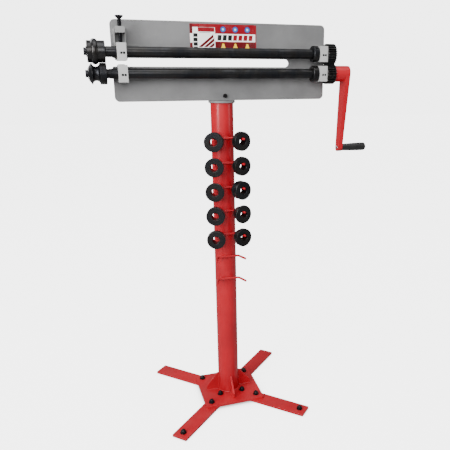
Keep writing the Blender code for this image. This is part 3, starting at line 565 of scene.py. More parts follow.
def place_turned(name, profile, where, ease, body, look, slot, nodes, facets=None):
    """A turned piece, placed as it comes off the lathe."""
    mesh = turned(name, profile, where, ease, facets or ROUND)
    return place(loose(name, mesh), body, look, nodes)


def finish_mesh(name, shape, where=None):
    bmesh.ops.remove_doubles(shape, verts=shape.verts, dist=1e-7)
    bmesh.ops.recalc_face_normals(shape, faces=shape.faces)
    mesh = bpy.data.meshes.new(name)
    shape.to_mesh(mesh)
    shape.free()
    if where is not None:
        mesh.transform(where)
    smooth_off(mesh)
    return mesh


def skin(name, rings, where=None, closed_loop=False, along=None):
    """Joins rings of points into one closed shell. A ring of one point closes an end."""
    shape = bmesh.new()
    reach = shape.verts.layers.float.new("along_profile")
    made = []
    for k, ring in enumerate(rings):
        made.append([shape.verts.new(point) for point in ring])
        for vertex in made[-1]:
            vertex[reach] = along[k] if along else 0.0
    pairs = list(zip(made, made[1:]))
    if closed_loop:
        pairs.append((made[-1], made[0]))
    for first, second in pairs:
        count = max(len(first), len(second))
        for k in range(count):
            corners = [first[k % len(first)], first[(k + 1) % len(first)]]
            corners += [second[(k + 1) % len(second)], second[k % len(second)]]
            shape.faces.new(list(dict.fromkeys(corners)))
    return finish_mesh(name, shape, where)


def circle(radius, facets=ROUND, height=0.0):
    turns = [2 * pi * k / facets for k in range(facets)]
    return [(radius * cos(a), radius * sin(a), height) for a in turns]


def eased(points, radius, steps=4, closed=False):
    """The points with each corner turned on a small curve."""
    made = []
    count = len(points)
    for k, point in enumerate(points):
        corner = Vector(point)
        if not closed and k in (0, count - 1):
            made.append(tuple(corner))
            continue
        back, ahead = Vector(points[k - 1]) - corner, Vector(points[(k + 1) % count]) - corner
        if back.length < 1e-9 or ahead.length < 1e-9 or back.angle(ahead) > radians(168):
            made.append(tuple(corner))
            continue
        cut = min(radius, 0.42 * back.length, 0.42 * ahead.length)
        start, end = corner + back.normalized() * cut, corner + ahead.normalized() * cut
        for step in range(steps + 1):
            t = step / steps
            made.append(tuple(start * (1 - t) ** 2 + corner * 2 * t * (1 - t) + end * t * t))
    return made


def turned(name, profile, where=None, ease=0.0004, facets=ROUND):
    """A turned piece about its own Z, from (height, radius) points. A bored one closes on itself."""
    bored = all(radius > 0 for _, radius in profile)
    line = eased(profile, ease, closed=bored)
    along, total = [], 0.0
    for k, point in enumerate(line):
        total += (Vector(point) - Vector(line[k - 1])).length if k else 0.0
        along.append(total)
    rings = [circle(r, facets, h) if r > 0 else [(0, 0, h)] for h, r in line]
    return skin(name, rings, where, bored, along)


def arc(centre, radius, start, end, steps):
    """Points along an arc, with both its ends."""
    sweep = [start + (end - start) * k / steps for k in range(steps + 1)]
    return [(centre[0] + radius * cos(a), centre[1] + radius * sin(a)) for a in sweep]


def prism(name, outline, depth, where=None):
    """A flat outline given a depth along its own Z."""
    shape = bmesh.new()
    face = shape.faces.new([shape.verts.new((x, y, 0)) for x, y in outline])
    raised = bmesh.ops.extrude_face_region(shape, geom=[face])["geom"]
    top = [v for v in raised if isinstance(v, bmesh.types.BMVert)]
    bmesh.ops.translate(shape, verts=top, vec=(0, 0, depth))
    return finish_mesh(name, shape, where)


def block(name, low, high):
    """A box between two corners. Its edges are eased by solid()."""
    low, high = Vector(low), Vector(high)
    shape = bmesh.new()
    bmesh.ops.create_cube(shape, size=1)
    bmesh.ops.scale(shape, verts=shape.verts, vec=high - low)
    return finish_mesh(name, shape, Matrix.Translation((low + high) / 2))


def rod(name, radius, length, at, turn=None, facets=SMALL_ROUND):
    """A plain round cutter or peg, centred on a point."""
    where = Matrix.Translation(at) @ (turn or Matrix.Identity(4))
    profile = [(-length / 2, 0), (-length / 2, radius), (length / 2, radius), (length / 2, 0)]
    rings = [circle(r, facets, h) if r else [(0, 0, h)] for h, r in profile]
    return skin(name, rings, where)


def bolt_hole(at, turn=None, length=0.03):
    """A cutter for a bolt's hole."""
    return rod("hole", BOLT_HOLE_RADIUS, length, at, turn)


def solid(name, mesh, cuts=(), joins=(), edge=0.0006, segments=3):
    """A solid with others joined to it or cut from it, and then its edges eased."""
    shape = loose(name, mesh)
    if joins:
        cut_or_join(shape, joins, "UNION")
    if cuts:
        cut_or_join(shape, cuts, "DIFFERENCE")
    if edge:
        ease_edges(shape, edge, segments)
        settled(shape)
    smooth_off(shape.data)
    return shape


# Geometry node tools -----------------------------------------------------------------------------


def grower(name, inputs):
    """An empty Geometry Nodes tree with named inputs, and its input and output nodes."""
    tree = bpy.data.node_groups.new(name, "GeometryNodeTree")
    tree.interface.new_socket("Geometry", in_out="INPUT", socket_type="NodeSocketGeometry")
    for label, kind, value in inputs:
        socket = tree.interface.new_socket(label, in_out="INPUT", socket_type="NodeSocket" + kind)
        if value is not None:
            socket.default_value = value
    tree.interface.new_socket("Geometry", in_out="OUTPUT", socket_type="NodeSocketGeometry")
    return tree, tree.nodes.new("NodeGroupInput").outputs, tree.nodes.new("NodeGroupOutput").inputs[0]


def end_of(tree, geometry, look, out, smooth=True):
    """Every tree ends the same way: real geometry, with its material."""
    real = put(tree, "GeometryNodeRealizeInstances", Geometry=geometry).outputs[0]
    if smooth:
        real = put(tree, "GeometryNodeSetShadeSmooth", Geometry=real).outputs[0]
    done = put(tree, "GeometryNodeSetMaterial", Geometry=real, Material=look).outputs[0]
    tree.links.new(done, out)


def make_weld_tree():
    """A weld bead along each spline, rippled where each drop of metal froze."""
    tree, given, out = grower("weld bead", [
        ("Bead Radius", "Float", 0.0022), ("Ripple Pitch", "Float", 0.0022), ("Ripple Depth", "Float", 0.16),
        ("Unevenness", "Float", 0.25), ("Seed", "Int", 1), ("Material", "Material", None),
    ])
    line = put(tree, "GeometryNodeResampleCurve", {"mode": "LENGTH"}, Curve=given["Geometry"], Length=0.0005)
    length = put(tree, "GeometryNodeSplineParameter").outputs["Length"]
    phase = maths(tree, "MULTIPLY", maths(tree, "DIVIDE", length, given["Ripple Pitch"]), pi)
    ripple = maths(tree, "ABSOLUTE", maths(tree, "SINE", phase))
    shape = maths(tree, "MULTIPLY", maths(tree, "SUBTRACT", ripple, 1.0), given["Ripple Depth"])
    spot = put(tree, "GeometryNodeInputPosition").outputs[0]
    drift = put(
        tree, "ShaderNodeTexNoise", {"noise_dimensions": "4D"}, Vector=spot, W=given["Seed"], Scale=160.0,
    )
    wander = maths(tree, "MULTIPLY", maths(tree, "SUBTRACT", drift.outputs[0], 0.5), given["Unevenness"])
    share = maths(tree, "ADD", maths(tree, "ADD", shape, wander), 1.0)
    ring = put(tree, "GeometryNodeCurvePrimitiveCircle", Resolution=8, Radius=given["Bead Radius"])
    bead = put(
        tree, "GeometryNodeCurveToMesh", Curve=line.outputs[0], Profile_Curve=ring.outputs[0],
        Scale=share, Fill_Caps=True,
    )
    end_of(tree, bead.outputs[0], given["Material"], out)
    return tree


def make_rod_tree():
    """A bent round rod along a spline, repeated down the column."""
    tree, given, out = grower("bent rods", [
        ("Rod Radius", "Float", 0.003), ("Rows", "Int", 7), ("Row Pitch", "Float", 0.065),
        ("Material", "Material", None),
    ])
    ring = put(tree, "GeometryNodeCurvePrimitiveCircle", Resolution=20, Radius=given["Rod Radius"])
    bar = put(
        tree, "GeometryNodeCurveToMesh", Curve=given["Geometry"], Profile_Curve=ring.outputs[0],
        Scale=put(tree, "GeometryNodeInputRadius").outputs[0], Fill_Caps=True,
    )
    drop = put(tree, "ShaderNodeCombineXYZ", Z=maths(tree, "MULTIPLY", given["Row Pitch"], -1.0))
    rows = put(tree, "GeometryNodeMeshLine", Count=given["Rows"], Offset=drop.outputs[0])
    copies = put(tree, "GeometryNodeInstanceOnPoints", Points=rows.outputs[0], Instance=bar.outputs[0])
    end_of(tree, copies.outputs[0], given["Material"], out)
    return tree


def make_fastener_tree():
    """The same fastener at each point, each turned to where its tightening happened to stop."""
    tree, given, out = grower("set fasteners", [
        ("Fastener", "Object", None), ("Most Turn", "Float", pi / 3), ("Seed", "Int", 3),
        ("Material", "Material", None),
    ])
    kind = put(tree, "GeometryNodeObjectInfo", Object=given["Fastener"], As_Instance=True)
    turn = put(
        tree, "FunctionNodeRandomValue", {"data_type": "FLOAT"},
        _2=0.0, _3=given["Most Turn"], Seed=given["Seed"],
    )
    about = put(tree, "ShaderNodeCombineXYZ", Z=turn.outputs[1])
    copies = put(
        tree, "GeometryNodeInstanceOnPoints", Points=given["Geometry"], Instance=kind.outputs["Geometry"],
        Rotation=about.outputs[0],
    )
    end_of(tree, copies.outputs[0], given["Material"], out, smooth=False)
    return tree


def make_rib_tree():
    """Ribs round a rim, such as a knurled head's."""
    tree, given, out = grower("rim ribs", [
        ("Count", "Int", 36), ("Rim Radius", "Float", 0.009), ("Rib Size", "Vector", (0.001, 0.001, 0.003)),
        ("Height", "Float", 0.0), ("Material", "Material", None),
    ])
    rim = put(tree, "GeometryNodeMeshCircle", Vertices=given["Count"], Radius=given["Rim Radius"])
    rib = put(tree, "GeometryNodeMeshCube", Size=given["Rib Size"])
    step = maths(tree, "DIVIDE", 2 * pi, given["Count"])
    index = put(tree, "GeometryNodeInputIndex").outputs[0]
    turn = maths(tree, "ADD", maths(tree, "MULTIPLY", index, step), pi / 4)
    about = put(tree, "ShaderNodeCombineXYZ", Z=turn)
    copies = put(
        tree, "GeometryNodeInstanceOnPoints", Points=rim.outputs[0], Instance=rib.outputs[0],
        Rotation=about.outputs[0],
    )
    lifted = put(tree, "ShaderNodeCombineXYZ", Z=given["Height"])
    moved = put(tree, "GeometryNodeTransform", Geometry=copies.outputs[0], Translation=lifted.outputs[0])
    end_of(tree, moved.outputs[0], given["Material"], out, smooth=False)
    return tree


WELD_BEAD = make_weld_tree()
BENT_RODS = make_rod_tree()
SET_FASTENERS = make_fastener_tree()
RIM_RIBS = make_rib_tree()


def grow(shape, tree, **values):
    """Runs a Geometry Nodes tree on the object and keeps its result as a plain mesh."""
    step = shape.modifiers.new(tree.name, "NODES")
    step.node_group = tree
    for item in tree.interface.items_tree:
        label = item.name.replace(" ", "_")
        if item.item_type == "SOCKET" and item.in_out == "INPUT" and label in values:
            step[item.identifier] = values[label]
    return settled(shape)


def curve_of(name, paths, closed=(), radii=None):
    """A curve object with one spline for each path of points."""
    line = bpy.data.curves.new(name, "CURVE")
    line.dimensions = "3D"
    for number, path in enumerate(paths):
        spline = line.splines.new("POLY")
        spline.points.add(len(path) - 1)
        for k, (point, at) in enumerate(zip(spline.points, path)):
            point.co = (*at, 1)
            point.radius = radii[k] if radii else 1.0
        spline.use_cyclic_u = number in closed
    return loose(name, line)


def weld(name, paths, look, body="stand", radius=0.0022, seed=1, closed=()):
    """Weld beads along the paths, painted as what they join."""
    bead = curve_of(name, paths, closed)
    bead = grow(bead, WELD_BEAD, Bead_Radius=radius, Seed=seed, Material=look)
    smooth_off(bead.data, 60)
    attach(bead, body)
    return bead


def ring_path(centre, radius, steps=64):
    """Points round a level circle."""
    turns = [2 * pi * k / steps for k in range(steps)]
    return [(centre[0] + radius * cos(a), centre[1] + radius * sin(a), centre[2]) for a in turns]


# Bolts -------------------------------------------------------------------------------------------


def hexagon(flats, height, facets=SMALL_ROUND):
    """A ring of points round a hexagon, so that it joins a round ring point to point."""
    ring = []
    for k in range(facets):
        angle = 2 * pi * k / facets
        reach = flats / 2 / cos((angle + pi / 6) % (pi / 3) - pi / 6)
        ring.append((reach * cos(angle), reach * sin(angle), height))
    return ring


def hex_end(flats, foot, top, facets=SMALL_ROUND):
    """The rings of a hexagon head from foot to top, with the round chamfer that cuts its corners."""
    land = flats / 2 * 0.94
    corner = hexagon(flats, 0.0, facets)
    crown = []
    for x, y, _ in corner:
        crown.append((x, y, top - (sqrt(x * x + y * y) - land) * tan(radians(30))))
    low = [(x * 0.985, y * 0.985, foot) for x, y, _ in corner]
    lifted = [(x, y, foot + 0.0002) for x, y, _ in corner]
    return [low, lifted, crown, circle(land, facets, top), circle(land * 0.97, facets, top), [(0, 0, top)]]


def washer_rings(shank_radius, shank, washer_radius, washer, flats, facets=SMALL_ROUND):
    """The rings of a shank below 0 and a washer above it, up to the foot of the head."""
    edge = 0.0003
    rings = [[(0, 0, -shank)]]
    rings += [circle(shank_radius - edge, facets, -shank), circle(shank_radius, facets, -shank + edge)]
    rings += [circle(shank_radius, facets, 0)]
    rings += [circle(washer_radius - edge, facets, 0), circle(washer_radius, facets, edge)]
    rings += [circle(washer_radius, facets, washer - edge), circle(washer_radius - edge, facets, washer)]
    rings += [circle(flats * 0.52, facets, washer), circle(flats * 0.475, facets, washer)]
    return rings + [circle(flats * 0.475, facets, washer + edge)]


def hex_bolt(name, flats, head, washer_radius, washer, shank_radius, shank, where=None):
    """A bolt standing on its washer's underside, with its head up."""
    rings = washer_rings(shank_radius, shank, washer_radius, washer, flats)
    return skin(name, rings + hex_end(flats, washer + 0.0003, washer + head), where)


def cap_nut(name, flats, height, washer_radius, washer, shank_radius, shank):
    """A domed nut on its washer, with the end of the bolt below it."""
    facets = SMALL_ROUND
    hexagon_height = height * 0.5
    rings = washer_rings(shank_radius, shank, washer_radius, washer, flats)
    foot, shoulder, top = washer + 0.0003, washer + hexagon_height, washer + height
    rings += hex_end(flats, foot, shoulder, facets)[:4]
    dome = flats / 2 * 0.93
    rise = top - shoulder
    for k in range(9):
        angle = pi / 2 * k / 9
        rings.append(circle(dome * cos(angle), facets, shoulder + 0.0002 + (rise - 0.0002) * sin(angle)))
    return skin(name, rings + [[(0, 0, top)]])


def make_stand_bolts():
    """The cap nuts of the base and of the front legs."""
    flats, washer_radius = 0.013, 0.0085
    sets = (("base_bolts", BASE_BOLTS, "base_plate"), ("end_bolts", END_BOLTS, "leg_left_front"))
    for label, nodes, under in sets:
        low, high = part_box(nodes[0])
        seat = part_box(under)[1].z + JOINT_GAP
        head = high.z - seat - WASHER_THICK
        mesh = cap_nut(label, flats, head, washer_radius, WASHER_THICK, BOLT_RADIUS, seat - low.z)
        kind = loose(f"{label}_pattern", mesh)
        points = bpy.data.meshes.new(label)
        points.from_pydata([(middle(n).x, middle(n).y, seat) for n in nodes], [], [])
        seats = loose(label, points)
        bolts = grow(seats, SET_FASTENERS, Fastener=kind, Seed=len(nodes), Material=BLACK_BOLTS)
        bpy.data.objects.remove(kind)
        smooth_off(bolts.data)
        place(bolts, "stand", nodes=nodes)


def make_frame_bolt():
    """The bolt through the plate and its lug, with the nut behind."""
    low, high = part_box("frame_bolt")
    at = ((low.x + high.x) / 2, (PLATE_LOW.y + PLATE_HIGH.y) / 2, (low.z + high.z) / 2)
    front = PLATE_HIGH.y + JOINT_GAP
    rear = PLATE_HIGH.y + 2 * JOINT_GAP + LUG_THICK
    flats = 0.010
    rings = [[(x, y, -z) for x, y, z in ring] for ring in reversed(hex_end(flats, rear, high.y))]
    rings += [circle(BOLT_RADIUS, SMALL_ROUND, -rear), circle(BOLT_RADIUS, SMALL_ROUND, front)]
    rings += hex_end(flats, front, -low.y)
    mesh = skin("frame_bolt_and_nut", rings, Matrix.Translation(at) @ FACING_FRONT)
    place(loose("frame_bolt_and_nut", mesh), "stand", BLACK_BOLTS, ["frame_bolt"])


def make_die_bolt(level, body):
    """The bolt that clamps a die on its shaft."""
    node = f"{level}_die_bolt"
    low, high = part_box(node)
    seat_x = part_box(f"{level}_die")[0].x - JOINT_GAP
    flats, head, washer_radius, shank_radius = 0.017, 0.0055, 0.012, 0.005
    at = (seat_x, (low.y + high.y) / 2, (low.z + high.z) / 2)
    where = Matrix.Translation(at) @ AGAINST_X
    name = f"{level}_die_bolt_set"
    mesh = hex_bolt(name, flats, head, washer_radius, WASHER_THICK, shank_radius, high.x - seat_x, where)
    place(loose(name, mesh), body, BLACK_BOLTS, [node])


# Base, gussets and column ------------------------------------------------------------------------


def make_base():
    """The square plate and its four legs, drilled for their bolts."""
    low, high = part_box("base_plate")
    half = (high.x - low.x) / 2
    side = half - BASE_CORNER_CUT
    octagon = [(half, -side), (half, side), (side, half), (-side, half)]
    octagon += [(-x, -y) for x, y in octagon]
    where = Matrix.Translation((COLUMN_X, 0, low.z))
    holes = [bolt_hole((middle(n).x, middle(n).y, low.z)) for n in BASE_BOLTS]
    plate = solid("base_plate_fine", prism("base_plate_fine", octagon, high.z - low.z, where), cuts=holes)
    place(plate, "stand", RED_ENAMEL, ["base_plate"])
    for quarter, corner in enumerate(CORNERS):
        name = f"leg_{corner}"
        low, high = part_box(name)
        far = max(abs(high.x - COLUMN_X), abs(low.x - COLUMN_X)) * sqrt(2) - LEG_WIDTH / 2 + 0.0008
        half = LEG_WIDTH / 2
        outline = [(LEG_INNER, -half), (far, -half), (far, half), (LEG_INNER, half)]
        outline = eased(outline, 0.002, 3, closed=True)
        turn = Matrix.Rotation(pi / 4 + quarter * pi / 2, 4, "Z")
        where = Matrix.Translation((COLUMN_X, 0, low.z)) @ turn
        bolts = [f"outer_bolt_{corner}", f"inner_bolt_{corner}"]
        if corner.endswith("front"):
            bolts.append(f"end_bolt_{corner}")
        holes = [bolt_hole((middle(n).x, middle(n).y, 0)) for n in bolts]
        leg = solid(f"{name}_fine", prism(name, outline, high.z - low.z, where), cuts=holes, edge=0.0007)
        place(leg, "stand", RED_ENAMEL, [name])


def make_gussets():
    """The four gussets at the foot of the column, with their welds."""
    beads = []
    inner = COLUMN_RADIUS + JOINT_GAP
    for quarter, side in enumerate(SIDES):
        low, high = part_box(f"gusset_{side}")
        reach = max(high.x - COLUMN_X, COLUMN_X - low.x, high.y, -low.y)
        height = high.z - low.z
        outline = [(inner, 0), (reach, 0), (reach, GUSSET_NOSE)]
        outline += [(inner + GUSSET_TOP, height), (inner, height)]
        turn = Matrix.Translation((COLUMN_X, 0, low.z)) @ Matrix.Rotation(quarter * pi / 2, 4, "Z")
        where = turn @ Matrix.Translation((0, GUSSET_THICK / 2, 0)) @ FACING_FRONT
        plate = solid(f"gusset_{side}_fine", prism("gusset", outline, GUSSET_THICK, where), edge=0.0005)
        place(plate, "stand", RED_ENAMEL, [f"gusset_{side}"])
        for sign in (-1, 1):
            across = sign * (GUSSET_THICK / 2 + 0.0004)
            foot = [(inner + 0.004 + k * 0.004, across, 0.0004) for k in range(9)]
            up = [(inner + 0.0002, across, 0.004 + k * 0.004) for k in range(12)]
            beads += [[turn @ Vector(p) for p in foot], [turn @ Vector(p) for p in up]]
    weld("gusset_welds", beads, RED_ENAMEL, radius=0.0019, seed=4)


def make_column():
    """The column, with a weld at each end."""
    low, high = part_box("column")
    outer, inner = COLUMN_RADIUS, COLUMN_RADIUS - COLUMN_WALL
    profile = [(low.z, inner), (low.z, outer), (high.z, outer), (high.z, inner)]
    where = Matrix.Translation((COLUMN_X, 0, 0))
    place_turned("column_tube", profile, where, 0.0005, "stand", RED_ENAMEL, "red_paint", ["column"])
    foot = [ring_path((COLUMN_X, 0, low.z), outer + 0.0006)]
    weld("column_foot_weld", foot, RED_ENAMEL, radius=0.0023, seed=2, closed=(0,))
    top = [ring_path((COLUMN_X, 0, high.z - 0.0006), outer + 0.0004)]
    weld("column_top_weld", top, RED_ENAMEL, radius=0.0018, seed=7, closed=(0,))


# Hooks and spare dies ----------------------------------------------------------------------------


def hook_rows():
    """The hooks' nodes, from the highest down."""
    return sorted((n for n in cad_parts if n.startswith("die_hook_")), key=lambda n: -middle(n).z)


def make_hooks():
    """The rods that hold the spare dies, one bent rod repeated down the column."""
    rows = hook_rows()
    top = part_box(rows[0])
    radius = (top[1].z - top[0].z) / 2
    y, z = top[1].y - radius, middle(rows[0]).z
    half = HOOK_HALF_WIDTH
    pitch = (middle(rows[0]).z - middle(rows[-1]).z) / (len(rows) - 1)
    cut = HOOK_BEND * tan((pi / 2 - HOOK_SPLAY) / 2)
    centre = (half - cut, -HOOK_BEND)
    tip = (half + HOOK_PRONG * sin(HOOK_SPLAY), -HOOK_PRONG * cos(HOOK_SPLAY))
    bend = arc(centre, HOOK_BEND, HOOK_SPLAY, pi / 2, 10)
    run = (bend[0][0] - tip[0], bend[0][1] - tip[1])
    prong = [(tip[0] + run[0] * t, tip[1] + run[1] * t) for t in (0, 0.01, 0.03, 0.3, 0.6)]
    right = prong + bend
    both = right + [(-x, y_) for x, y_ in reversed(right)]
    ends = [0.55, 0.86, 1.0]
    radii = ends + [1.0] * (len(both) - 6) + ends[::-1]
    path = [(COLUMN_X + x, y + y_, z) for x, y_ in both]
    rods = curve_of("spare_die_hooks", [[(px, py, 0) for px, py, _ in path]], radii=radii)
    rods = grow(rods, BENT_RODS, Rod_Radius=radius, Rows=len(rows), Row_Pitch=pitch, Material=RED_ENAMEL)
    rods.data.transform(Matrix.Translation((0, 0, z)))
    smooth_off(rods.data, 50)
    place(rods, "stand", nodes=rows)
    beads = []
    for row in range(len(rows)):
        for sign in (-1, 1):
            level = z - row * pitch + sign * (radius * 0.75)
            across = (-0.008, -0.004, 0, 0.004, 0.008)
            beads.append([(COLUMN_X + x, y + radius * 0.75 + 0.0002, level) for x in across])
    weld("hook_welds", beads, RED_ENAMEL, radius=0.0016, seed=9)


def spare_profiles():
    """One profile per row, as (height, radius) from the back face to the front one."""
    width, full, bore, edge = SPARE_WIDTH, 0.025, DIE_BORE, 0.001
    hub = full * 0.72
    front = [(width - edge, full), (width, full - edge), (width, bore + 0.0008), (width - 0.0008, bore)]
    back = [(0.0008, bore), (0, bore + 0.0008)]
    plain = [*back, (0, hub - edge), (edge, hub), (width * 0.45, hub), (width * 0.45, full), *front]
    bead = [*back, (0, hub), (width * 0.3, hub), (width * 0.4, full * 0.94), (width * 0.5, full), *front]
    groove = [*back, (0, full * 0.9), (width * 0.25, full), (width * 0.35, full * 0.8)]
    groove += [(width * 0.55, full * 0.8), (width * 0.65, full), *front]
    taper = [*back, (0, hub), (width * 0.2, hub), (width * 0.75, full), *front]
    step_roll = [*back, (0, hub), (width * 0.5, hub), (width * 0.5, full * 0.97), *front]
    return plain, bead, groove, taper, step_roll


def make_spare_dies():
    """The ten spare dies, slid onto the prongs of the hooks."""
    profiles = spare_profiles()
    rows = hook_rows()
    for side, sign in (("left", -1), ("right", 1)):
        for row in range(5):
            name = f"spare_die_{side}_{row + 1}"
            profile = profiles[row] if side == "right" else profiles[(row + 2) % len(profiles)]
            along = Vector((sign * sin(HOOK_SPLAY), -cos(HOOK_SPLAY), 0))
            hook_low, hook_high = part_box(rows[row])
            radius = (hook_high.z - hook_low.z) / 2
            corner = Vector((COLUMN_X + sign * HOOK_HALF_WIDTH, hook_high.y - radius, 0))
            at = corner + along * (SPARE_ALONG_PRONG - SPARE_WIDTH / 2)
            at.z = middle(name).z
            where = Matrix.Translation(at) @ Matrix.Rotation(sign * HOOK_SPLAY, 4, "Z") @ FACING_FRONT
            place_turned(f"{name}_fine", profile, where, 0.0005, "stand", BLACKED, "black_steel", [name])


# Frame plate, its foot and its label -------------------------------------------------------------


def make_frame_plate():
    """The grey plate with its round corners and its deep throat."""
    mid = (LOWER_Z + UPPER_Z) / 2 + 0.002
    low, high = mid - THROAT_HEIGHT / 2, mid + THROAT_HEIGHT / 2
    left, right, bottom, top = PLATE_LOW.x, PLATE_HIGH.x, PLATE_LOW.z, PLATE_HIGH.z
    r, m = PLATE_CORNER, THROAT_MOUTH_CORNER
    end = left + THROAT_DEPTH - THROAT_HEIGHT / 2
    outline = arc((left + r, bottom + r), r, pi, 1.5 * pi, 10)
    outline += arc((right - r, bottom + r), r, 1.5 * pi, 2 * pi, 10)
    outline += arc((right - r, top - r), r, 0, pi / 2, 10)
    outline += arc((left + r, top - r), r, pi / 2, pi, 10)
    outline += arc((left + m, high + m), m, pi, 1.5 * pi, 6)
    outline += arc((end, mid), THROAT_HEIGHT / 2, pi / 2, -pi / 2, 24)
    outline += arc((left + m, low - m), m, pi / 2, pi, 6)
    thick = PLATE_HIGH.y - PLATE_LOW.y
    where = Matrix.Translation((0, PLATE_HIGH.y, 0)) @ FACING_FRONT
    hole = bolt_hole(middle("frame_bolt"), FACING_FRONT)
    mesh = prism("frame_plate_fine", outline, thick, where)
    plate = solid("frame_plate_fine", mesh, cuts=[hole], edge=0.0006)
    place(plate, "stand", GREY_ENAMEL, ["frame_plate"])


def make_frame_foot():
    """The disc under the plate, with the lug that the plate is bolted to."""
    low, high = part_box("frame_foot")
    radius = (high.x - low.x) / 2
    profile = [(0, 0), (0, radius), (FOOT_THICK, radius), (FOOT_THICK, 0)]
    disc = turned("frame_foot_fine", profile, Matrix.Translation((COLUMN_X, 0, low.z)), 0.0005)
    near = PLATE_HIGH.y + JOINT_GAP
    far = near + LUG_THICK
    half = LUG_WIDTH / 2
    lug = block("lug", (COLUMN_X - half, near, low.z + FOOT_THICK / 2), (COLUMN_X + half, far, high.z))
    hole = bolt_hole(middle("frame_bolt"), FACING_FRONT, 0.05)
    foot = solid("frame_foot_fine", disc, joins=[lug], cuts=[hole], edge=0.0005)
    place(foot, "stand", GREY_ENAMEL, ["frame_foot"])
    level = low.z + FOOT_THICK + 0.0004
    beads = [[(COLUMN_X + x / 1000, far + 0.0004, level) for x in range(-16, 17, 4)]]
    for edge in (-1, 1):
        line = COLUMN_X + edge * (LUG_WIDTH / 2 + 0.0004)
        beads.append([(line, near + 0.002 + k * 0.002, level) for k in range(4)])
    weld("lug_welds", beads, GREY_ENAMEL, radius=0.0018, seed=12)


def make_label():
    """The printed label: plain fields and shapes, with no lettering."""
    left, right = PLATE_LOW.x + 0.1915, PLATE_LOW.x + 0.3650
    bottom, top = PLATE_HIGH.z - 0.0745, PLATE_HIGH.z - 0.0050
    width, height = right - left, top - bottom
    sheet, layer = 0.00016, 0.00005
    face = PLATE_LOW.y

    def patch(name, outline, ink, level):
        """A flat field of ink, from outline points as shares of the label."""
        points = [(left + u * width, bottom + v * height) for u, v in outline]
        thick = sheet + level * layer
        where = Matrix.Translation((0, face - 0.00002, 0)) @ FACING_FRONT
        shape = loose(f"label_{name}", prism(name, points, thick, where))
        place(shape, "stand", INKS[ink])

    def field(name, u0, v0, u1, v1, ink, level):
        patch(name, [(u0, v0), (u1, v0), (u1, v1), (u0, v1)], ink, level)

    corner = eased([(0, 0), (1, 0), (1, 1), (0, 1)], 0.012, 4, closed=True)
    patch("sheet", corner, "red", 0)
    field("panel", 0.04, 0.02, 0.372, 0.885, "white", 1)
    field("panel_bar", 0.118, 0.73, 0.362, 0.88, "red", 2)
    field("panel_line", 0.140, 0.695, 0.30, 0.71, "black", 2)
    for k in range(4):
        field(f"panel_block_{k + 1}", 0.05, 0.09 + 0.152 * k, 0.112, 0.215 + 0.152 * k, "black", 2)
    field("edge_gap", 0.002, 0.35, 0.04, 0.67, "white", 1)
    field("edge_high", 0.002, 0.67, 0.04, 0.98, "deep_red", 1)
    field("edge_low", 0.002, 0.03, 0.04, 0.35, "deep_red", 1)
    slope, wide, low_v = 2.0, 0.055, 0.20
    for k, (u, reach) in enumerate(((0.122, 0.225), (0.197, 0.163), (0.272, 0.088))):
        high_v = low_v + slope * (reach - wide)
        stripe = [(u, low_v), (u + wide, low_v), (u + reach, high_v), (u + reach, high_v + slope * wide)]
        patch(f"stripe_{k + 1}", stripe, "deep_red", 2)
    field("band", 0.372, 0.40, 0.985, 0.672, "white", 1)
    for k in range(7):
        u = 0.405 + k * 0.079
        ink = "black" if k < 3 else "red"
        mark = [(u, 0.44), (u + 0.058, 0.44), (u + 0.066, 0.63), (u + 0.008, 0.63)]
        patch(f"band_mark_{k + 1}", mark, ink, 2)
    field("low_shade", 0.372, 0.015, 0.985, 0.375, "deep_red", 1)
    disc = arc((0, 0), 1.0, 0, 2 * pi * 23 / 24, 23)
    across, ratio = 0.044, width / height
    discs = (("ring", 1.0, "shade", 1), ("disc", 0.84, "blue", 2), ("spot", 0.36, "sky", 3))
    for k, u in enumerate((0.4925, 0.677, 0.861)):
        for name, share, ink, level in discs:
            outline = [(u + x * across * share, 0.825 + y * across * share * ratio) for x, y in disc]
            patch(f"{name}_{k + 1}", outline, ink, level)
        tab = [(u - 0.034, 0.17), (u + 0.034, 0.17), (u + 0.012, 0.335), (u - 0.012, 0.335)]
        patch(f"tab_{k + 1}", tab, "yellow", 2)


# Bearings, guide and adjusting screw -------------------------------------------------------------


def make_block(node, body, bore, seat=None):
    """A bearing block with its bore, its set screws and, on the sliding one, a seat for the screw's tip."""
    low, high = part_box(node)
    centre = (low + high) / 2
    axis_z = UPPER_Z if centre.z > (UPPER_Z + LOWER_Z) / 2 else LOWER_Z
    cuts = [rod("bore", bore, 0.06, (centre.x, SHAFT_Y, axis_z), ALONG_X, 72)]
    seats = []
    for side in (-1, 1):
        x = centre.x + SET_SCREWS_RIGHT + side * SET_SCREWS_APART / 2
        seats.append((x, low.y, axis_z - SET_SCREWS_BELOW_AXIS))
    cuts += [rod("screw_hole", SET_SCREW_RADIUS, 0.006, at, FACING_FRONT, 32) for at in seats]
    if seat:
        cuts.append(rod("seat", seat, 0.006, (centre.x, SHAFT_Y, high.z)))
    shape = solid(f"{node}_fine", block(node, low, high), cuts=cuts, edge=0.0016, segments=4)
    place(shape, body, PALE_ENAMEL, [node])
    for number, at in enumerate(seats):
        where = Matrix.Translation(at) @ FACING_FRONT
        set_screw(f"{node}_set_screw_{number + 1}", where, SET_SCREW_RADIUS, -0.0010, body)


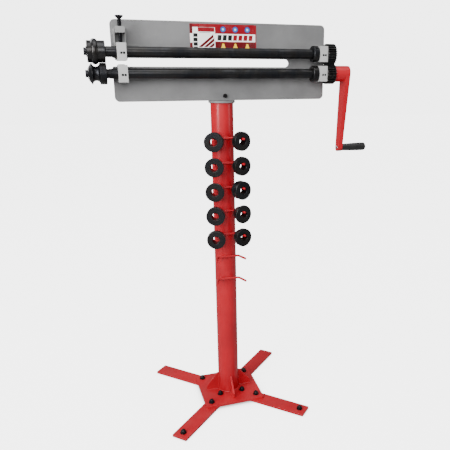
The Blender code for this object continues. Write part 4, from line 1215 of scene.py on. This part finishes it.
def set_screw(name, where, radius, top, body):
    """A socket set screw, sunk in its hole. where has its axis along Z."""
    facets = 24
    socket = radius * 0.55
    rings = [[(0, 0, top - 0.0018)], circle(radius * 0.94, facets, top - 0.0018)]
    rings += [circle(radius * 0.94, facets, top - 0.0003), circle(radius * 0.84, facets, top)]
    rings += [circle(socket * 1.2, facets, top), hexagon(2 * socket, top - 0.0002, facets)]
    rings += [hexagon(2 * socket, top - 0.0014, facets), [(0, 0, top - 0.0016)]]
    place(loose(name, skin(name, rings, where)), body, BLACK_BOLTS)


def make_bearings():
    """The four bearing blocks, the bronze bush in the sliding one, and their welds."""
    running = SHAFT_RADIUS + RUNNING_GAP
    welded = ("bearing_upper_right", "bearing_lower_right", "bearing_lower_left")
    for node in welded:
        make_block(node, "stand", running)
    outside = running + BUSH_WALL
    make_block("sliding_bearing", "sliding_bearing", outside + RUNNING_GAP, SCREW_SEAT_RADIUS)
    low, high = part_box("upper_bush")
    half = (high.x - low.x) / 2
    flare = 0.0004
    profile = [
        (-half + flare, running), (-half, running + flare),
        (-half, outside - flare), (-half + flare, outside),
        (half - flare, outside), (half, outside - flare),
        (half, running + flare), (half - flare, running),
    ]
    where = Matrix.Translation(((low.x + high.x) / 2, SHAFT_Y, UPPER_Z)) @ ALONG_X
    made = ("upper_bush_fine", profile, where, 0.0002)
    place_turned(*made, "upper_bush", BEARING_BRONZE, "bronze", ["upper_bush"])
    beads = []
    for node in welded:
        low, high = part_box(node)
        for level in (low.z - 0.0004, high.z + 0.0004):
            beads.append([(low.x + 0.003 + k * 0.004, high.y + 0.0003, level) for k in range(5)])
    weld("block_welds", beads, PALE_ENAMEL, radius=0.0019, seed=21)


def make_screw_guide():
    """The block that the adjusting screw runs in, and the rails beside the sliding block."""
    low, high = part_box("screw_guide")
    left_low, left_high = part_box("bearing_lower_left")
    rail, depth, height = 0.003, 0.014, 0.014
    nut_low, nut_high = high.z - height, high.z
    x = (left_low.x + left_high.x) / 2
    half = (left_high.x - left_low.x) / 2
    nut = block("screw_guide_fine", (x - half, low.y, nut_low), (x + half, high.y, nut_high))
    joins = []
    for sign in (-1, 1):
        near, far = x + sign * (half + SLIDE_GAP), x + sign * (half + SLIDE_GAP + rail)
        joins.append(block("rail", (min(near, far), high.y - depth, low.z),
                           (max(near, far), high.y, nut_low + height * 0.75)))
        lap = x + sign * (half - 0.002)
        joins.append(block("tie", (min(lap, far), high.y - depth * 0.9, nut_low + height * 0.25),
                           (max(lap, far), high.y - depth * 0.1, nut_low + height * 0.625)))
    thread = rod("thread", 0.0053, height * 2, (x, SHAFT_Y, (nut_low + nut_high) / 2))
    shape = solid("screw_guide_fine", nut, joins=joins, cuts=[thread], edge=0.0007)
    place(shape, "stand", GUIDE_ENAMEL, ["screw_guide"])
    beads = []
    foot = high.y + 0.0003
    for sign in (-1, 1):
        side = x + sign * (half + SLIDE_GAP + rail + 0.0004)
        beads.append([(side, foot, nut_high - 0.003 - k * 0.003) for k in range(5)])
        beads.append([(side, foot, low.z + 0.004 + k * 0.003) for k in range(5)])
    beads.append([(x - half + 0.003 + k * 0.004, foot, nut_high + 0.0004) for k in range(5)])
    weld("guide_welds", beads, GUIDE_ENAMEL, radius=0.0020, seed=26)


def make_adjusting_screw():
    """A threaded screw with a flared, ribbed head and a hexagon socket."""
    low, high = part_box("adjusting_screw")
    x, y = (low.x + high.x) / 2, (low.y + high.y) / 2
    head_height, head_radius, pitch, outer, cut = 0.007, 0.0095, 0.0015, 0.00495, 0.0009
    head_low = high.z - head_height
    tip_end = low.z + 0.0036
    facets, steps = 40, 8
    rings = [[(0, 0, low.z)], circle(0.0034, facets, low.z), circle(0.0039, facets, low.z + 0.0005)]
    rings.append(circle(0.0039, facets, tip_end - 0.0006))
    count = int((head_low - 0.002 - tip_end) / pitch * steps)
    for k in range(count):
        height = tip_end + k * pitch / steps
        fade = min(1.0, k / steps, (count - 1 - k) / steps)
        ring = []
        for f in range(facets):
            turn = f / facets
            wave = abs(((height / pitch - turn) % 1.0) * 2 - 1)
            ridge = wave * fade if fade < 1 else min(1.0, wave * 1.25)
            radius = outer - cut * (1 - ridge)
            ring.append((radius * cos(2 * pi * turn), radius * sin(2 * pi * turn), height))
        rings.append(ring)
    socket, depth, edge = 0.0035, 0.005, 0.0004
    rings.append(circle(0.0042, facets, head_low - 0.0012))
    rings.append(circle(0.0050, facets, head_low))
    rings.append(circle(head_radius - 0.0006, facets, head_low + head_height * 0.52))
    rings.append(circle(head_radius - 0.0004, facets, head_low + head_height * 0.58))
    rings.append(circle(head_radius - 0.0004, facets, high.z - edge))
    rings.append(circle(head_radius - 0.0008, facets, high.z))
    rings.append(circle(socket * 1.25, facets, high.z))
    rings.append(hexagon(2 * socket, high.z - edge, facets))
    rings.append(hexagon(2 * socket, high.z - depth, facets))
    rings.append([(0, 0, high.z - depth - 0.001)])
    where = Matrix.Translation((x, y, 0))
    screw = loose("adjusting_screw_fine", skin("adjusting_screw_fine", rings, where))
    place(screw, "adjusting_screw", BLACK_BOLTS, ["adjusting_screw"])
    mesh = bpy.data.meshes.new("screw_head_ribs")
    mesh.from_pydata([(0, 0, 0)], [], [])
    ribs = grow(
        loose("screw_head_ribs", mesh), RIM_RIBS, Count=36, Rim_Radius=head_radius - 0.0005,
        Rib_Size=(0.0009, 0.0009, head_height * 0.30), Height=high.z - head_height * 0.24,
        Material=BLACK_BOLTS,
    )
    ribs.data.transform(where)
    place(ribs, "adjusting_screw")


# Shafts and what they carry ----------------------------------------------------------------------


def make_shaft(level, body, neck):
    """A shaft with its seats for the die and the gear. The lower one has a tapered neck."""
    node = f"{level}_shaft"
    low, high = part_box(node)
    z = axis_height(level)
    seat, bolt, depth = DIE_BORE - JOINT_GAP, 0.0053, 0.020
    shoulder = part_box(f"{level}_die")[1].x + JOINT_GAP
    gear_seat_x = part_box(f"{level}_gear")[0].x - JOINT_GAP
    profile = [(low.x + depth, 0), (low.x + depth, bolt), (low.x, bolt), (low.x, seat - 0.0006)]
    profile += [(low.x + 0.0006, seat), (shoulder, seat)]
    if neck:
        profile += [(shoulder, 0.0108), (shoulder + 0.005, 0.0108), (shoulder + 0.016, SHAFT_RADIUS)]
    else:
        profile += [(shoulder, SHAFT_RADIUS - 0.0012), (shoulder + 0.0012, SHAFT_RADIUS)]
    gear_seat, chamfer = 0.010, 0.0012
    profile += [(gear_seat_x, SHAFT_RADIUS), (gear_seat_x, gear_seat), (high.x - chamfer, gear_seat)]
    profile += [(high.x, gear_seat - chamfer), (high.x, 0.0028)]
    profile += [(high.x - 0.0035, 0.0010), (high.x - 0.006, 0)]
    where = Matrix.Translation((0, SHAFT_Y, z)) @ ALONG_X
    place_turned(f"{node}_fine", profile, where, 0.0003, body, BLACKED, "black_steel", [node])


def bead_profile(nose, half_width, height):
    """A roll's profile with a round bead, or a round groove where the height is below 0."""
    radius = (UPPER_Z - LOWER_Z - DIE_GAP) / 2
    width = extent("upper_die").x
    steps = 18
    profile = [(0.0007, DIE_BORE), (0, DIE_BORE + 0.0007), *nose, (BEAD_CENTRE - half_width, radius)]
    for k in range(1, steps):
        a = pi * k / steps
        profile.append((BEAD_CENTRE - half_width * cos(a), radius + height * sin(a)))
    profile += [(BEAD_CENTRE + half_width, radius), (width - 0.0009, radius), (width, radius - 0.0009)]
    profile += [(width, DIE_BORE + 0.0007), (width - 0.0007, DIE_BORE)]
    return profile


def make_die(level, body):
    """The bead roll above, or the grooved one below."""
    node = f"{level}_die"
    radius = (UPPER_Z - LOWER_Z - DIE_GAP) / 2
    if level == "upper":
        profile = bead_profile([(0, radius - 0.0009), (0.0009, radius)], 0.007, 0.0044)
    else:
        profile = bead_profile([(0, 0.015), (0.007, radius)], 0.0085, -0.0085)
    z = axis_height(level)
    where = Matrix.Translation((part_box(node)[0].x, SHAFT_Y, z)) @ ALONG_X
    place_turned(f"{node}_fine", profile, where, 0.0003, body, BLACKED, "black_steel", [node])


def make_collar(level, body):
    """The collar beside the right bearing, with its set screw."""
    node = f"{level}_collar"
    low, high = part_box(node)
    z = axis_height(level)
    width, outer, inner, edge = high.x - low.x, (high.z - low.z) / 2, SHAFT_RADIUS + JOINT_GAP, 0.0015
    profile = [(0, inner + 0.0004), (0, outer - edge), (edge, outer), (width - edge, outer)]
    profile += [(width, outer - edge), (width, inner + 0.0004), (width - 0.0004, inner), (0.0004, inner)]
    where = Matrix.Translation((low.x, SHAFT_Y, z)) @ ALONG_X
    at = Vector((low.x + width / 2, SHAFT_Y, z))
    outward = Matrix.Rotation(radians(50), 4, "X")
    hole = rod("screw_hole", 0.0032, 0.008, at + outward @ Vector((0, 0, outer)), outward)
    shape = loose(f"{node}_fine", turned(f"{node}_fine", profile, where, 0.0004))
    cut_or_join(shape, [hole], "DIFFERENCE")
    smooth_off(shape.data)
    place(shape, body, BLACKED, [node])
    set_screw(f"{node}_set_screw", Matrix.Translation(at) @ outward, 0.0031, outer - 0.0012, body)


def gear_outline(pitch, tip, root):
    """A spur gear's outline, with involute flanks and some backlash, and a tooth towards -X."""
    base = pitch * cos(PRESSURE_ANGLE)

    def involute(radius):
        angle = acos(min(1.0, base / radius))
        return tan(angle) - angle

    half_at_pitch = pi / (2 * GEAR_TEETH) - GEAR_BACKLASH / (4 * pitch)
    flank = [(root, half_at_pitch + involute(pitch) + 0.012)]
    flank.append((root + 0.0004, half_at_pitch + involute(pitch)))
    steps = 6
    for k in range(steps + 1):
        radius = base + (tip - 0.0002 - base) * k / steps
        flank.append((radius, half_at_pitch + involute(pitch) - involute(radius)))
    flank.append((tip, flank[-1][1] - 0.008))
    outline = []
    for tooth in range(GEAR_TEETH):
        centre = pi + 2 * pi * tooth / GEAR_TEETH
        sides = [(r, centre - h) for r, h in flank] + [(r, centre + h) for r, h in reversed(flank)]
        outline += [(r * cos(a), r * sin(a)) for r, a in sides]
    return outline


def make_gear(level, body):
    """A spur gear with a dished web on its outer face."""
    node = f"{level}_gear"
    low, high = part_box(node)
    z = axis_height(level)
    pitch = (UPPER_Z - LOWER_Z) / 2
    module = 2 * pitch / GEAR_TEETH
    width, tip, root = high.x - low.x, pitch + module, pitch - 1.3 * module
    outline = gear_outline(pitch, tip, root)
    edge = 0.0005

    def toothed(height, shrink=0.0):
        share = 1 - shrink / tip
        return [(x * share, y * share, height) for x, y in outline]

    def level_ring(radius, height):
        """A round ring with a point beside each point of the outline."""
        made = []
        for x, y in outline:
            reach = sqrt(x * x + y * y)
            made.append((x / reach * radius, y / reach * radius, height))
        return made

    web, hub, bore, dish = root - 0.003, 0.0150, BORE_RADIUS, 0.0022
    rings = [toothed(edge), toothed(width - edge), toothed(width, edge)]
    rings += [level_ring(*at) for at in (
        (web, width), (web - 0.0008, width - dish), (hub + 0.0008, width - dish), (hub, width),
        (bore + 0.0006, width), (bore, width - 0.0006), (bore, 0.0006),
        (bore + 0.0006, 0), (hub, 0), (web, 0),
    )]
    rings.append(toothed(0, edge))
    where = Matrix.Translation((low.x, SHAFT_Y, z)) @ ALONG_X
    shape = loose(f"{node}_fine", skin(f"{node}_fine", rings, where, closed_loop=True))
    place(shape, body, GEAR_STEEL, [node])


# Crank -------------------------------------------------------------------------------------------


def make_crank():
    """The crank arm, which leans out from its hub to the grip."""
    low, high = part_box("crank_arm")
    throw = LOWER_Z - middle("grip_pin").z
    spread_ = acos((ARM_HUB_RADIUS - ARM_END_RADIUS) / throw)
    outline = arc((0, 0), ARM_HUB_RADIUS, spread_, 2 * pi - spread_, 36)
    outline += arc((throw, 0), ARM_END_RADIUS, -spread_, spread_, 28)
    hub_left, hub_right = low.x, high.x
    length, radius, edge = hub_right - hub_left, (high.y - low.y) / 2, 0.002
    mesh = prism("crank_arm_fine", outline, ARM_THICK)
    for vertex in mesh.vertices:
        vertex.co.z -= ARM_LEAN * vertex.co.x / throw
    mesh.transform(Matrix.Translation((hub_right - ARM_THICK, SHAFT_Y, LOWER_Z)) @ ALONG_X)
    profile = [(0, 0), (0, radius - edge), (edge, radius)]
    profile += [(length - edge, radius), (length, radius - edge), (length, 0)]
    hub = turned("hub", profile, Matrix.Translation((hub_left, SHAFT_Y, LOWER_Z)) @ ALONG_X, 0.0012)
    bore = rod("bore", BORE_RADIUS, length * 2, (hub_left + length / 2, SHAFT_Y, LOWER_Z), ALONG_X, 64)
    pin = middle("grip_pin")
    grip_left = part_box("crank_grip")[0].x
    eye = rod("eye", 0.0045, ARM_THICK * 3, (grip_left - ARM_THICK / 2, pin.y, pin.z), ALONG_X)
    arm = solid("crank_arm_fine", mesh, joins=[hub], cuts=[bore, eye], edge=0.0013, segments=4)
    place(arm, "lower_shaft", RED_ENAMEL, ["crank_arm"])
    face = hub_right - ARM_THICK - 0.0005
    low_line = []
    for k in range(19):
        a = radians(-54 + k * 6)
        low_line.append((face, SHAFT_Y + (radius + 0.0002) * sin(a), LOWER_Z - (radius + 0.0002) * cos(a)))
    weld("crank_weld", [low_line], RED_ENAMEL, "lower_shaft", 0.0017, 31)


def make_grip_pin():
    """The bright pin that the grip turns on."""
    low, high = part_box("grip_pin")
    centre = middle("grip_pin")
    shank, head, head_length = 0.0042, 0.006, 0.004
    neck = high.x - head_length
    profile = [(low.x, 0), (low.x, shank - 0.0010), (low.x + 0.0008, shank), (neck, shank), (neck, head)]
    profile += [(high.x - 0.0008, head), (high.x, head - 0.0010)]
    profile += [(high.x, 0.0022), (high.x - 0.0022, 0.0018), (high.x - 0.0022, 0)]
    where = Matrix.Translation((0, centre.y, centre.z)) @ ALONG_X
    made = ("grip_pin_fine", profile, where, 0.0002)
    place_turned(*made, "lower_shaft", BRIGHT_STEEL, "bright_steel", ["grip_pin"], SMALL_ROUND)


def make_grip():
    """The grip, fattest near its end, with a groove by the arm."""
    low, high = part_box("crank_grip")
    centre = middle("crank_grip")
    length, fat, thin, bore, recess = high.x - low.x, 0.011, 0.009, 0.0046, 0.0065
    floor = length - JOINT_GAP - 0.004 - SLIDE_GAP
    profile = [(floor, recess), (floor, bore), (0, bore), (0, thin - 0.001), (0.001, thin)]
    swell = 12
    for k in range(1, swell + 1):
        t = k / swell
        profile.append((0.001 + t * length * 0.8, thin + (fat - thin) * sin(t * pi / 2)))
    ring_at = length * 0.12
    groove = [(ring_at, 0.0), (ring_at + 0.0008, -0.0004), (ring_at + 0.0016, 0.0)]
    body_line = [p for p in profile[5:] if not ring_at - 0.002 < p[0] < ring_at + 0.004]
    slim = thin + (fat - thin) * sin((ring_at / (length * 0.8)) * pi / 2)
    profile = profile[:5] + [(h, slim + d) for h, d in groove] + body_line
    nose = 0.0045
    for k in range(8):
        a = pi / 2 * k / 7
        profile.append((length - nose + nose * sin(a), fat - nose * (1 - cos(a))))
    profile += [(length, recess + 0.0002), (length - 0.0003, recess)]
    where = Matrix.Translation((low.x, centre.y, centre.z)) @ ALONG_X
    made = ("crank_grip_fine", profile, where, 0.0003)
    place_turned(*made, "crank_grip", GRIP_PLASTIC, "black_plastic", ["crank_grip"])


# Floor, light and camera -------------------------------------------------------------------------


def make_stage():
    """A pale floor, bright to the camera and dimmer to the metal above it, with painted contact shadows."""
    floor = loose("floor", block("floor", (-8, -6, -0.02), (8, 10, 0)))
    look, tree, into, spot = new_finish("pale_floor", Specular_IOR_Level=0.0, Roughness=0.8)
    shade = spread(tree, noise(tree, spot, 1.5, 3.0), 0.3, 0.7)
    feed(tree, into, Base_Color=blend(tree, shade, (0.30, 0.30, 0.30, 1.0), (0.33, 0.33, 0.33, 1.0)))
    seen = put(tree, "ShaderNodeLightPath").outputs["Is Camera Ray"]
    # Painted contact shadow: ambient occlusion near the stand dims the floor's camera-only glow.
    near = put(tree, "ShaderNodeAmbientOcclusion", {"samples": 8}, Distance=0.09).outputs["AO"]
    glow_with_painted_shadow = maths(tree, "MULTIPLY", spread(tree, near, 0.0, 1.0, 0.12, 1.0), WHITE_TO_THE_EYE)
    into["Emission Color"].default_value = (1.0, 1.0, 1.0, 1.0)
    feed(tree, into, Emission_Strength=maths(tree, "MULTIPLY", glow_with_painted_shadow, seen))
    floor.data.materials.append(look)


def aimed(source, at, target):
    """Puts a lamp at a place and turns it to look at another."""
    source.location = at
    source.rotation_mode = "QUATERNION"
    source.rotation_quaternion = (Vector(target) - Vector(at)).to_track_quat("-Z", "Y")


def softbox(name, at, height, size, power):
    """A square lamp with a soft edge, turned towards a height above the middle of the floor."""
    lamp = bpy.data.lights.new(name, "AREA")
    lamp.shape = "RECTANGLE"
    lamp.size, lamp.size_y = size
    lamp.energy = power
    aimed(loose(name, lamp), at, (0, 0, height))


def make_light():
    """Five soft lamps, and air that is bright to the camera only."""
    for lamp in (
        ("key", (-1.95, -1.35, 1.5), 0.75, (0.8, 1.8), 88),
        ("front", (-0.9, -2.9, 1.9), 0.6, (2.0, 1.4), 80),
        ("overhead", (0.1, -0.5, 2.9), 0.6, (2.2, 1.6), 45),
        ("side", (2.3, -1.2, 1.3), 0.6, (0.7, 1.6), 14),
        ("rear", (-1.6, 2.0, 2.6), 0.8, (1.6, 1.2), 45),
    ):
        softbox(*lamp)
    world = bpy.data.worlds.new("studio")
    bpy.context.scene.world = world
    world.use_nodes = True
    tree = world.node_tree
    air = tree.nodes["Background"]
    air.inputs["Color"].default_value = (1, 1, 1, 1)
    seen = put(tree, "ShaderNodeLightPath").outputs["Is Camera Ray"]
    tree.links.new(spread(tree, seen, 0.0, 1.0, 0.30, WHITE_TO_THE_EYE), air.inputs["Strength"])


def make_camera():
    """The view from the front, a little to the left and above the dies."""
    lens = bpy.data.cameras.new("camera")
    lens.sensor_width = 36.0
    lens.lens = 42.52
    lens.shift_x = -0.10
    lens.clip_start = 0.05
    view = loose("camera", lens)
    yaw, pitch = radians(18.6), radians(15.8)
    view.location = (COLUMN_X - 0.3372, -1.4012, 0.9329)
    view.rotation_euler = (pi / 2 - pitch, 0, -yaw)
    bpy.context.scene.camera = view


make_base()
make_gussets()
make_column()
make_hooks()
make_spare_dies()
make_stand_bolts()
make_frame_plate()
make_frame_foot()
make_frame_bolt()
make_label()
make_bearings()
make_screw_guide()
make_adjusting_screw()
for shaft_level in ("upper", "lower"):
    shaft_body = f"{shaft_level}_shaft"
    make_shaft(shaft_level, shaft_body, shaft_level == "lower")
    make_die(shaft_level, shaft_body)
    make_die_bolt(shaft_level, shaft_body)
    make_collar(shaft_level, shaft_body)
    make_gear(shaft_level, shaft_body)
make_crank()
make_grip_pin()
make_grip()
make_stage()
make_light()
make_camera()
